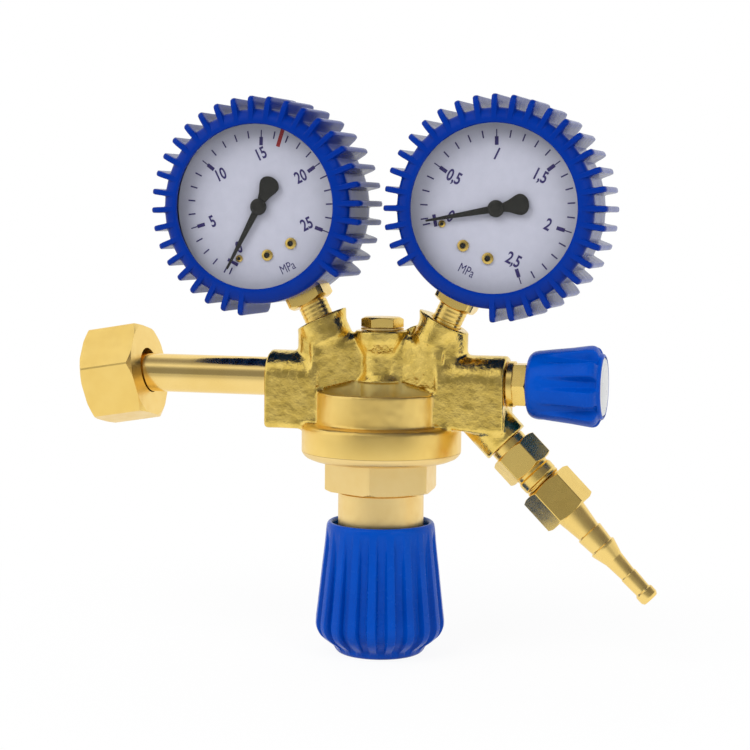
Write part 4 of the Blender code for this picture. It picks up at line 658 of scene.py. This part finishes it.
def inlet_union():
    lathe("inlet_pipe_nipple", [
        (3.0, 2.3), (10.1, 2.3), (10.7, 2.9), (10.7, 5.3), (6.85, 5.3), (6.85, 66.8), (6.4, 67.2),
        (3.0, 67.2)],
        PIPE_AXIS, "drawn", nodes=("inlet_pipe",), edge=0.3)
    lathe("inlet_gasket_ring", [(4.0, 0.0), (9.0, 0.0), (9.0, 2.0), (4.0, 2.0)], PIPE_AXIS, FIBRE,
          nodes=("inlet_gasket",), edge=0.35)
    mouth, face, back = -15.12, 1.38, 4.88
    thread = thread_run(radius=12.1, depth=-0.75, pitch=1.814, low=mouth + 1.0, high=face - 1.6)

    def inside(angle):
        return [(8.1, back), (8.1, face), (12.1, face)] + thread(angle)[::-1] + [(13.1, mouth)]
    hexed("inlet_union_nut", inside, NUT_AXIS, "brushed", flats=32.0, low=mouth, high=back,
          chamfers=(1.2, 1.2), turned=-13.0, body="inlet_nut", nodes=("inlet_nut",))


def valve_column():
    lathe("plug_seal_washer", [(5.6, 17.7), (7.5, 17.7), (7.5, 18.3), (5.6, 18.3)], COLUMN, "machined",
          nodes=("plug_washer",), edge=0.15)
    hexed("top_plug_hex", [(0.0, 22.1), (0.0, 12.1)], COLUMN, "hexagon", flats=13.0, low=18.6, high=22.1,
          chamfers=(0.0, 0.8), turned=-15.0, nodes=("top_plug",), head=[(5.3, 12.1), (5.3, 18.6)])
    shoulder = [
        (24.5, -22.2), (24.5, -24.9), (27.98, -24.9), (27.98, -24.96), (27.8, -25.6), (26.6, -27.0),
        (24.2, -28.0), (20.9, -28.2), (12.5, -28.2), (12.5, -24.4), (18.3, -24.4), (18.3, -22.2)]
    lathe("bonnet_shoulder", soften(shoulder, 0.5), COLUMN, "machined", edge=0.0, count=140)
    tube = [
        (12.5, -27.6), (12.5, -58.5), (5.3, -58.5), (5.3, -64.0), (14.25, -64.0), (15.05, -63.2),
        (15.05, -39.7), (14.3, -39.4), (14.3, -38.6)]
    hexed("bonnet_hex_tube", tube, COLUMN, "machined", flats=36.0, low=-38.6, high=-27.6,
          chamfers=(0.8, 0.0), turned=3.7, nodes=("bonnet",))
    hexed("relief_cap_hex", [(1.5, 17.3), (1.5, 9.0)], RELIEF_AXIS, "hexagon", flats=11.0, low=12.3,
          high=17.3, chamfers=(0.0, 0.8), nodes=("relief_valve_cap",), head=[(3.7, 9.0), (3.7, 12.3)])


def outlet_fittings():
    hexed("valve_bonnet_hex", [(3.5, 51.9), (3.5, 36.9)], VALVE_AXIS, "hexagon", flats=14.0, low=47.4,
          high=51.9, chamfers=(0.3, 0.3), nodes=("outlet_valve_bonnet",),
          head=[(5.2, 36.9), (5.2, 45.2), (7.6, 45.2), (7.9, 45.5), (7.9, 47.4)])
    spigot = thread_run(radius=6.8, depth=0.35, pitch=1.5, low=45.4, high=53.9)
    spigot_neck = [(6.3, 41.2), (6.3, 42.2), (6.8, 42.8), (6.8, 45.2)]

    def inside(angle):
        return spigot_neck + spigot(angle) + [(6.0, 54.1), (3.0, 54.1), (3.0, 19.0)]
    hexed("outlet_adapter_hex", inside, OUTLET_AXIS, "hexagon", flats=16.0, low=31.3, high=41.2,
          chamfers=(0.8, 0.8), turned=27.0, nodes=("outlet_adapter",),
          head=[(5.0, 19.0), (5.0, 28.8), (6.5, 28.8), (6.5, 31.3)])
    nut = 61.3
    hexed("outlet_union_nut", [(5.8, nut), (5.8, 58.3), (7.1, 58.3), (7.1, 48.2), (7.6, 47.6)], OUTLET_AXIS,
          "hexagon", flats=17.5, low=47.6, high=nut, chamfers=(0.8, 0.8), turned=15.0, nodes=("outlet_nut",))
    barb = [
        (1.6, 54.4), (6.8, 54.4), (6.8, 58.0), (5.5, 58.0), (5.5, nut), (4.3, nut + 8.6), (4.9, nut + 8.9),
        (4.3, nut + 15.1), (4.9, nut + 15.4), (4.78, nut + 16.3), (3.4, nut + 21.1), (2.8, nut + 28.1),
        (3.1, nut + 28.4), (2.8, nut + 35.4), (3.4, nut + 36.0), (3.4, nut + 38.5), (2.8, nut + 39.5),
        (1.6, nut + 39.5)]
    lathe("hose_tail", barb, OUTLET_AXIS, "tail", nodes=("hose_barb",), edge=0.2)


inlet_union()
valve_column()
outlet_fittings()


# Grips

OUTLINE_STEPS = 120
OUTLINE_PASSES = 4
GRIP_STEPS = 480


def spread(stations, count):
    """Even steps along a smooth curve through stations; each starts with its radius and height."""
    knots = np.array(stations)
    along = np.concatenate([[0.0], np.cumsum(np.hypot(*np.diff(knots[:, :2], axis=0).T))])
    fine = np.linspace(0.0, along[-1], count)
    rough = np.stack([np.interp(fine, along, column) for column in knots.T], axis=1)
    for _ in range(OUTLINE_PASSES):
        rough[1:-1] = 0.25 * rough[:-2] + 0.5 * rough[1:-1] + 0.25 * rough[2:]
    return [tuple(row) for row in rough]


def grip(name, stations, inside, ribs, groove, edges, turned, axis, body, nodes):
    """A moulded grip of stations (radius, height, share of a groove's depth); edges bound its walls."""
    outline = spread(stations, OUTLINE_STEPS)
    phase = math.radians(turned)

    def section(angle):
        wave = 0.5 - 0.5 * math.cos(ribs * (angle - phase))
        wall = min(1.0, max(0.0, (wave - edges[0]) / (edges[1] - edges[0])))
        depth = groove * wall * wall * (3.0 - 2.0 * wall)
        return [(max(0.0, r - depth * share), z) for r, z, share in outline] + inside
    verts, faces = around(section, GRIP_STEPS)
    return add_piece(name, verts, faces, axis, KNOB, body, nodes, sharp=50.0)


def grips():
    grip("adjusting_knob_grip", [
        (17.0, -50.4, 0.0), (17.35, -49.7, 0.0), (18.1, -49.6, 0.0), (18.9, -50.3, 0.0), (19.2, -52.0, 0.0),
        (19.35, -53.5, 0.10), (19.6, -56.5, 0.35), (20.1, -61.0, 0.55), (20.7, -66.0, 0.72),
        (21.9, -77.0, 0.95), (22.85, -85.2, 1.0), (22.75, -87.2, 1.0), (21.6, -89.8, 1.0),
        (19.4, -91.8, 0.9), (17.2, -93.3, 0.5), (16.2, -94.2, 0.05), (15.9, -95.2, 0.0),
        (15.3, -96.2, 0.0), (14.0, -96.5, 0.0), (0.0, -96.5, 0.0)],
        [(0.0, -89.0), (5.1, -89.0), (5.1, -72.0), (8.5, -72.0), (8.5, -91.5), (13.5, -91.5), (18.4, -86.0),
         (16.9, -52.0)],
        ribs=20, groove=2.2, edges=(0.33, 0.67), turned=7.3, axis=COLUMN, body="adjuster",
        nodes=("adjusting_knob",))
    grip("handwheel_grip", [
        (3.3, 52.2, 0.0), (8.6, 52.2, 0.0), (10.3, 52.6, 0.0), (11.4, 53.9, 0.0), (11.85, 55.9, 0.0),
        (12.4, 60.0, 0.18), (13.2, 67.0, 0.6), (14.1, 73.0, 1.0), (14.2, 74.4, 1.0), (13.8, 75.6, 1.0),
        (12.9, 76.4, 0.7), (11.9, 76.8, 0.25), (11.4, 77.1, 0.0), (11.2, 77.9, 0.0), (10.9, 78.2, 0.0),
        (10.35, 78.2, 0.0)],
        [(10.3, 78.2), (10.3, 76.1), (3.3, 76.1)],
        ribs=8, groove=3.2, edges=(0.38, 0.92), turned=14.5, axis=VALVE_AXIS, body="handwheel",
        nodes=("handwheel",))
    lathe("handwheel_cap_disc", [
        (0.0, 76.4), (10.0, 76.4), (10.0, 77.9), (9.6, 78.2), (8.3, 78.3), (8.1, 78.15), (7.8, 78.15),
        (7.6, 78.4), (5.0, 78.75), (0.0, 78.9)],
        VALVE_AXIS, CAP, "handwheel", ("handwheel_cap",), edge=0.12)


grips()


# Gauges, each in a frame with x across, y up the stem and z towards the reader

DIAL_FACE = 9.6
INK = 0.03
ZERO = math.radians(-126.0)
FIN_PITCHES = 36
FIN_GAP = 2
FIN_RADIUS = 36.0
FIN_TURN = math.radians(-3.8)
FIN_SIDE = [(2.4, 0.0), (1.4, 0.01), (1.14, 0.10), (1.04, 0.45), (1.0, 0.80), (0.88, 0.93), (0.55, 0.985)]
FIN_SHAPE = [(-x, share) for x, share in FIN_SIDE] + [(0.0, 1.0)] + FIN_SIDE[::-1]
# The boot's outer run between fins and along a fin's crest, and the run inside it
BOOT_RUN = [
    ((29.8, 16.8), (29.8, 16.8)), ((31.0, 16.4), (31.2, 16.6)), ((32.3, 15.7), (34.2, 16.6)),
    ((33.2, 14.9), (36.5, 16.4)), ((33.6, 14.0), (37.6, 15.9)), ((33.7, 12.9), (38.1, 15.0)),
    ((33.7, 10.5), (38.1, 11.5)), ((33.7, 4.0), (38.15, 4.0)), ((33.7, -4.0), (38.25, -4.0)),
    ((33.7, -10.5), (38.3, -11.0)), ((33.5, -12.6), (38.2, -12.8)), ((32.7, -14.0), (37.3, -13.8))]
BOOT_INSIDE = [
    (25.4, -14.0), (25.0, -13.6), (25.0, -12.8), (31.7, -12.8), (31.7, 15.6), (28.4, 15.6), (28.4, 16.4),
    (28.7, 16.75), (29.1, 16.8)]
SCALE_START, SCALE_SWEEP = -135.0, 270.0
NUMBER_SIZE, NUMBER_WEIGHT, NUMBER_RADIUS, ZERO_RADIUS = 5.7, 0.15, 18.2, 16.2
UNIT_SIZE, UNIT_HEIGHT = 4.6, -23.4
LETTER_WIDTH = 0.74
LIMIT_VALUE, FULL_VALUE = 16.5, 25.0
NEEDLE_BACK, NEEDLE_FRONT = 11.0, 11.6
TAIL_MIDDLE, TAIL_HALF, TAIL_RISE = -8.6, 3.55, 2.8
SQUARE_HALF, SQUARE_CORNER, SQUARE_LOW, SQUARE_SLOPE = 7.0, 8.84, 29.5, 0.58


def gauge_boot(prefix, axis):
    """Finned rubber boot; the fins stop on both sides of the stem."""
    rows = []
    pitch = 2.0 * math.pi / FIN_PITCHES
    for i in range(FIN_PITCHES):
        bare = min(i, FIN_PITCHES - i) <= FIN_GAP
        for offset, height in FIN_SHAPE:
            angle = i * pitch + FIN_TURN - 0.5 * math.pi + offset / FIN_RADIUS
            share = 0.0 if bare else height
            run = [(a[0] + (b[0] - a[0]) * share, a[1] + (b[1] - a[1]) * share) for a, b in BOOT_RUN]
            rows.append(swung(run + BOOT_INSIDE, angle))
    verts, faces = skin(rows)
    add_piece(prefix + "_boot_rubber", verts, faces, axis, BOOT, nodes=(prefix + "_boot",),
              sharp=38.0)


def flat_bar(bm, length, width, angle, inner):
    """A printed line along a dial's radius; angle is clockwise from the top."""
    lift = Matrix.Translation((0.0, (inner + length / 2.0) * MM, (DIAL_FACE + INK / 2.0) * MM))
    scale = Matrix.Diagonal((width * MM, length * MM, INK * MM, 1.0))
    bmesh.ops.create_cube(bm, size=1.0, matrix=Matrix.Rotation(-angle, 4, "Z") @ lift @ scale)


def letters(bm, text, size, weight, x, y):
    """Printed characters, upright in the dial's frame."""
    curve = bpy.data.curves.new("letters", "FONT")
    curve.body = text
    curve.size = size * MM
    curve.align_x, curve.align_y = "CENTER", "CENTER"
    curve.extrude = INK / 2.0 * MM
    curve.offset = weight * MM
    curve.resolution_u = 4
    holder = bpy.data.objects.new("letters", curve)
    mesh = bpy.data.meshes.new_from_object(holder)
    mesh.transform(shift(x, y, DIAL_FACE + INK / 2.0) @ Matrix.Diagonal((LETTER_WIDTH, 1.0, 1.0, 1.0)))
    bm.from_mesh(mesh)
    bpy.data.objects.remove(holder)
    bpy.data.curves.remove(curve)
    bpy.data.meshes.remove(mesh)


def dial_print(prefix, axis, labels, minors, unit):
    """A scale with a number at each major mark and a broad mark at zero."""
    bm = bmesh.new()
    count = (len(labels) - 1) * minors
    start, sweep = math.radians(SCALE_START), math.radians(SCALE_SWEEP)
    for i in range(1, count + 1):
        angle = start + sweep * i / count
        if i % minors:
            flat_bar(bm, length=2.6, width=0.5, angle=angle, inner=24.0)
            continue
        flat_bar(bm, length=2.9, width=1.3, angle=angle, inner=21.3)
        flat_bar(bm, length=2.6, width=0.4, angle=angle, inner=24.0)
        letters(bm, labels[i // minors], NUMBER_SIZE, NUMBER_WEIGHT,
                NUMBER_RADIUS * math.sin(angle), NUMBER_RADIUS * math.cos(angle))
    flat_bar(bm, length=2.6, width=0.5, angle=ZERO - math.radians(2.6), inner=23.6)
    flat_bar(bm, length=1.2, width=4.2, angle=ZERO - math.radians(1.0), inner=21.2)
    letters(bm, labels[0], NUMBER_SIZE, NUMBER_WEIGHT,
            ZERO_RADIUS * math.sin(ZERO), ZERO_RADIUS * math.cos(ZERO))
    letters(bm, unit, UNIT_SIZE, 0.0, 0.0, UNIT_HEIGHT)
    add_bmesh(prefix + "_dial_print", bm, axis, PRINT)


# Hollow screws that hold a dial, and the pointer's stop pin: radius, degrees from the top, head radius
STUDS = [(17.0, 163.7, 2.0), (17.0, 196.3, 2.0), (19.6, -131.6, 1.25)]


def dial_studs(name, axis, outline, material):
    """One turned outline at each stud's place."""
    bm = bmesh.new()
    for radius, degrees, head in STUDS:
        angle = math.radians(degrees)
        place = shift(radius * math.sin(angle), radius * math.cos(angle), DIAL_FACE) @ Matrix.Scale(MM, 4)
        verts, faces = around(lambda turned, run=outline(head): run, 28)
        fill(bm, [place @ Vector(vert) for vert in verts], faces)
    add_bmesh(name, bm, axis, material)


def dial_fittings(prefix, axis):
    dial_studs(prefix + "_dial_screws", axis, lambda head: soften([
        (0.0, 0.0), (head, 0.0), (head, 0.6), (head * 0.52, 0.9), (head * 0.44, 0.1), (0.0, 0.1)], 0.12),
        "hexagon")
    # Black discs set in the hollows of the screws and the stop pin: painted shade for the dark inside of
    # each hole.
    dial_studs(prefix + "_dial_screw_hole_shade", axis, lambda head: [
        (0.0, 0.15), (head * 0.42, 0.15), (head * 0.42, 0.4), (0.0, 0.4)], BLACK)


def gauge_pointer(prefix, body, axis):
    """Tapered needle with a spade tail and a domed hub."""
    outline = [
        (0.35, 24.6), (-0.35, 24.6), (-1.25, 1.5), (-1.35, -2.0), (-2.1, -4.6), (-3.3, -7.2), (-3.6, -8.4)]
    for angle in np.radians(np.linspace(190.0, 350.0, 15)):
        outline.append((TAIL_HALF * math.cos(angle), TAIL_MIDDLE + TAIL_RISE * math.sin(angle)))
    outline += [(3.6, -8.4), (3.3, -7.2), (2.1, -4.6), (1.35, -2.0), (1.25, 1.5)]
    bm = bmesh.new()
    low = [bm.verts.new((x * MM, y * MM, NEEDLE_BACK * MM)) for x, y in outline]
    high = [bm.verts.new((x * MM, y * MM, NEEDLE_FRONT * MM)) for x, y in outline]
    bm.faces.new(low[::-1])
    bm.faces.new(high)
    for i in range(len(outline)):
        k = (i + 1) % len(outline)
        bm.faces.new((low[i], low[k], high[k], high[i]))
    hub = soften([(0.0, 10.7), (2.9, 10.7), (2.9, 11.9), (2.0, 12.3), (0.0, 12.4)], 0.35)
    verts, faces = around(lambda angle: hub, 48)
    fill(bm, in_metres(verts), faces)
    at_zero = axis @ Matrix.Rotation(-ZERO, 4, "Z")
    add_bmesh(prefix + "_pointer_needle", bm, at_zero, BLACK, body, (prefix + "_pointer",),
              bevel=0.08)


def gauge_socket(prefix, axis):
    """Screwed stem with a wrench square whose corners are turned off."""
    thread = thread_run(radius=5.2, depth=0.1, pitch=1.5, low=19.0, high=28.9, per_turn=8)

    def section(angle):
        lean = (angle + math.pi / 4.0) % (math.pi / 2.0) - math.pi / 4.0
        corner = angle % (math.pi / 2.0) - math.pi / 4.0
        side = min(SQUARE_HALF / math.cos(lean), SQUARE_CORNER / math.cos(corner))
        slope = max(0.0, side - SQUARE_HALF) * SQUARE_SLOPE
        stem = [(0.0, 15.0), (4.7, 15.0)] + thread(angle) + [(4.55, 29.1), (4.55, SQUARE_LOW)]
        square = [(SQUARE_HALF, SQUARE_LOW), (side, SQUARE_LOW + slope), (side, 34.9)]
        return stem + square + [(5.0, 34.9), (5.0, 48.0), (0.0, 48.0)]
    verts, faces = around(section, 144)
    add_piece(prefix + "_socket_stem", verts, faces, axis, "hexagon",
              nodes=(prefix + "_socket",), sharp=24.0, bevel=0.12)


def gauge(prefix, side, body, labels, minors):
    axis = dial_axis(side)
    gauge_boot(prefix, axis)
    lathe(prefix + "_case_cup", [
        (0.0, -12.5), (13.0, -12.5), (13.6, -11.9), (15.4, -11.9), (16.0, -12.5), (29.9, -12.5),
        (31.4, -11.0), (31.4, 13.0), (30.6, 13.0), (30.6, -10.9), (29.6, -11.7), (0.0, -11.7)],
        axis, CASE, nodes=(prefix + "_case",), edge=0.4)
    lathe(prefix + "_lens_disc", [(0.0, 13.3), (31.4, 13.3), (31.4, 15.3), (0.0, 15.3)], axis, LENS,
          nodes=(prefix + "_lens",), edge=0.2, count=120)
    lathe(prefix + "_dial_plate", [(1.2, 9.0), (30.3, 9.0), (30.3, DIAL_FACE), (1.2, DIAL_FACE)], axis, DIAL,
          nodes=(prefix + "_dial",), edge=0.1, count=120)
    dial_print(prefix, axis, labels, minors, "MPa")
    dial_fittings(prefix, axis)
    gauge_pointer(prefix, body, axis)
    gauge_socket(prefix, stem_axis(side))


gauge("inlet_gauge", -1, "inlet_pointer", [str(5 * i) for i in range(6)], 5)
gauge("outlet_gauge", 1, "outlet_pointer", ["0", "0,5", "1", "1,5", "2", "2,5"], 5)
red = bmesh.new()
limit = math.radians(SCALE_START + SCALE_SWEEP * LIMIT_VALUE / FULL_VALUE)
flat_bar(red, length=6.5, width=1.4, angle=limit, inner=21.8)
add_bmesh("inlet_gauge_limit_mark", red, dial_axis(-1), RED)


# Hidden pieces inside the regulator, copied onto its body


def giving(node):
    """A copy of a hidden spring or sheet, on the regulator's body in place of its solid."""
    source = frame["nodes"][node]
    mesh = source.data.copy()
    mesh.transform(source.matrix_world)
    obj = bpy.data.objects.new(node + "_giving", mesh)
    bpy.context.collection.objects.link(obj)
    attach(obj, ROOT)
    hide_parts(node)
    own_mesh(obj)


giving("main_spring")
giving("poppet_spring")
giving("diaphragm")


# Stage, light and camera

FLOOR = -0.0965
FLOOR_REACH = 6.0
FLOOR_COLOUR = (0.85, 0.85, 0.86, 1.0)
WHITE = (1.0, 1.0, 1.0, 1.0)
# Distances from the column, and the floor's share of plain white at each
SHADOW_NEAR, SHADOW_FAR, SHADOW_SHARE, PLAIN_SHARE = 0.04, 0.22, 0.92, 1.0
# Y in front of the object, and the floor's strength in reflections at each
DIM_FAR, DIM_NEAR, DIM_STRENGTH, FULL_STRENGTH = -0.45, -0.08, 0.62, 1.0


def graded(nodes, links, source, low, high, at_low, at_high):
    """A smooth run of a value from at_low to at_high, as source goes from low to high."""
    node = nodes.new("ShaderNodeMapRange")
    node.interpolation_type = "SMOOTHSTEP"
    for key, value in zip(("From Min", "From Max", "To Min", "To Max"), (low, high, at_low, at_high)):
        node.inputs[key].default_value = value
    links.new(source, node.inputs["Value"])
    return node.outputs["Result"]


def combined(nodes, links, operation, first, second):
    node = nodes.new("ShaderNodeMath")
    node.operation = operation
    links.new(first, node.inputs[0])
    links.new(second, node.inputs[1])
    return node.outputs["Value"]


def stage():
    """A pale floor that shows plain white away from the object, and the object's shadow near it."""
    mesh = bpy.data.meshes.new("floor")
    corners = [(-FLOOR_REACH, -FLOOR_REACH), (FLOOR_REACH, -FLOOR_REACH),
               (FLOOR_REACH, FLOOR_REACH), (-FLOOR_REACH, FLOOR_REACH)]
    mesh.from_pydata([(x, y, FLOOR) for x, y in corners], [], [(0, 1, 2, 3)])
    floor = bpy.data.objects.new("floor", mesh)
    bpy.context.collection.objects.link(floor)
    mat = bpy.data.materials.new("floor_white")
    mat.use_nodes = True
    nodes, links = mat.node_tree.nodes, mat.node_tree.links
    nodes.clear()
    matt = nodes.new("ShaderNodeBsdfDiffuse")
    matt.inputs["Color"].default_value = FLOOR_COLOUR
    place = nodes.new("ShaderNodeTexCoord").outputs["Object"]
    reach = nodes.new("ShaderNodeVectorMath")
    reach.operation = "DISTANCE"
    reach.inputs[1].default_value = (COLUMN_X * MM, 0.0, FLOOR)
    links.new(place, reach.inputs[0])
    plain = graded(nodes, links, reach.outputs["Value"], SHADOW_NEAR, SHADOW_FAR, SHADOW_SHARE, PLAIN_SHARE)
    parts = nodes.new("ShaderNodeSeparateXYZ")
    links.new(place, parts.inputs["Vector"])
    dim = graded(nodes, links, parts.outputs["Y"], DIM_FAR, DIM_NEAR, DIM_STRENGTH, FULL_STRENGTH)
    from_camera = nodes.new("ShaderNodeLightPath").outputs["Is Camera Ray"]
    glow = nodes.new("ShaderNodeEmission")
    links.new(combined(nodes, links, "MAXIMUM", dim, from_camera), glow.inputs["Strength"])
    mix = nodes.new("ShaderNodeMixShader")
    out = nodes.new("ShaderNodeOutputMaterial")
    links.new(combined(nodes, links, "MULTIPLY", seen_rays(nodes, links), plain), mix.inputs["Fac"])
    links.new(matt.outputs["BSDF"], mix.inputs[1])
    links.new(glow.outputs["Emission"], mix.inputs[2])
    links.new(mix.outputs["Shader"], out.inputs["Surface"])
    mesh.materials.append(mat)


def seen_rays(nodes, links):
    """One for a ray from the camera, a reflection or a clear piece."""
    ray = nodes.new("ShaderNodeLightPath")
    total = ray.outputs["Is Camera Ray"]
    for kind in ("Is Glossy Ray", "Is Transmission Ray"):
        total = combined(nodes, links, "MAXIMUM", total, ray.outputs[kind])
    return total


# Patches of the room: direction, cosines where a patch starts and is full, colour
PATCHES = [((-0.17, -0.963, 0.208), 0.80, 0.975, (0.30, 0.30, 0.31)),
           ((0.597, -0.765, 0.242), 0.80, 0.975, (0.30, 0.30, 0.31)),
           ((0.42, -0.12, 0.90), 0.64, 0.83, (0.21, 0.20, 0.23))]


def studio():
    """A white room, dim round the camera and dark in part of its ceiling; the camera sees plain white."""
    world = bpy.data.worlds.new("studio")
    bpy.context.scene.world = world
    world.use_nodes = True
    nodes, links = world.node_tree.nodes, world.node_tree.links
    way = nodes.new("ShaderNodeTexCoord")
    colour = nodes.new("ShaderNodeRGB").outputs["Color"]
    colour.default_value = WHITE

    def blend(factor, first, second):
        node = nodes.new("ShaderNodeMix")
        node.data_type = "RGBA"
        links.new(factor, node.inputs["Factor"])
        links.new(first, node.inputs[6])
        node.inputs[7].default_value = second
        return node.outputs[2]
    for direction, start, full, tint in PATCHES:
        lean = nodes.new("ShaderNodeVectorMath")
        lean.operation = "DOT_PRODUCT"
        lean.inputs[1].default_value = direction
        links.new(way.outputs["Generated"], lean.inputs[0])
        fade = graded(nodes, links, lean.outputs["Value"], start, full, 0.0, 1.0)
        colour = blend(fade, colour, (*tint, 1.0))
    from_camera = nodes.new("ShaderNodeLightPath").outputs["Is Camera Ray"]
    links.new(blend(from_camera, colour, WHITE), nodes["Background"].inputs["Color"])


def lamp(name, place, target, size, watts):
    """A soft square lamp that reflections don't show."""
    data = bpy.data.lights.new(name, "AREA")
    data.size = size
    data.energy = watts
    obj = bpy.data.objects.new(name, data)
    bpy.context.collection.objects.link(obj)
    obj.visible_glossy = False
    obj.location = place
    obj.rotation_euler = (Vector(target) - Vector(place)).to_track_quat("-Z", "Y").to_euler()


CAMERA_PLACE = (0.262, -0.613, 0.0575)
CAMERA_YAW, CAMERA_PITCH, CAMERA_ROLL = math.radians(15.2), math.radians(5.03), math.radians(0.5)
SENSOR, LENS_LENGTH = 36.0, 87.3


def camera():
    """The photograph's viewpoint."""
    data = bpy.data.cameras.new("photo_camera")
    data.sensor_width = SENSOR
    data.lens = LENS_LENGTH
    obj = bpy.data.objects.new("photo_camera", data)
    bpy.context.collection.objects.link(obj)
    obj.matrix_world = (Matrix.Translation(CAMERA_PLACE) @ Matrix.Rotation(CAMERA_YAW, 4, "Z")
                        @ Matrix.Rotation(math.pi / 2.0 - CAMERA_PITCH, 4, "X")
                        @ Matrix.Rotation(CAMERA_ROLL, 4, "Z"))
    bpy.context.scene.camera = obj


stage()
studio()
middle = (0.105, 0.0, 0.0)
lamp("key", (-0.35, -0.75, 0.75), middle, size=0.7, watts=7.0)
lamp("fill", (0.75, -0.55, 0.45), middle, size=0.6, watts=4.0)
camera()
bpy.context.scene.view_settings.view_transform = "Standard"
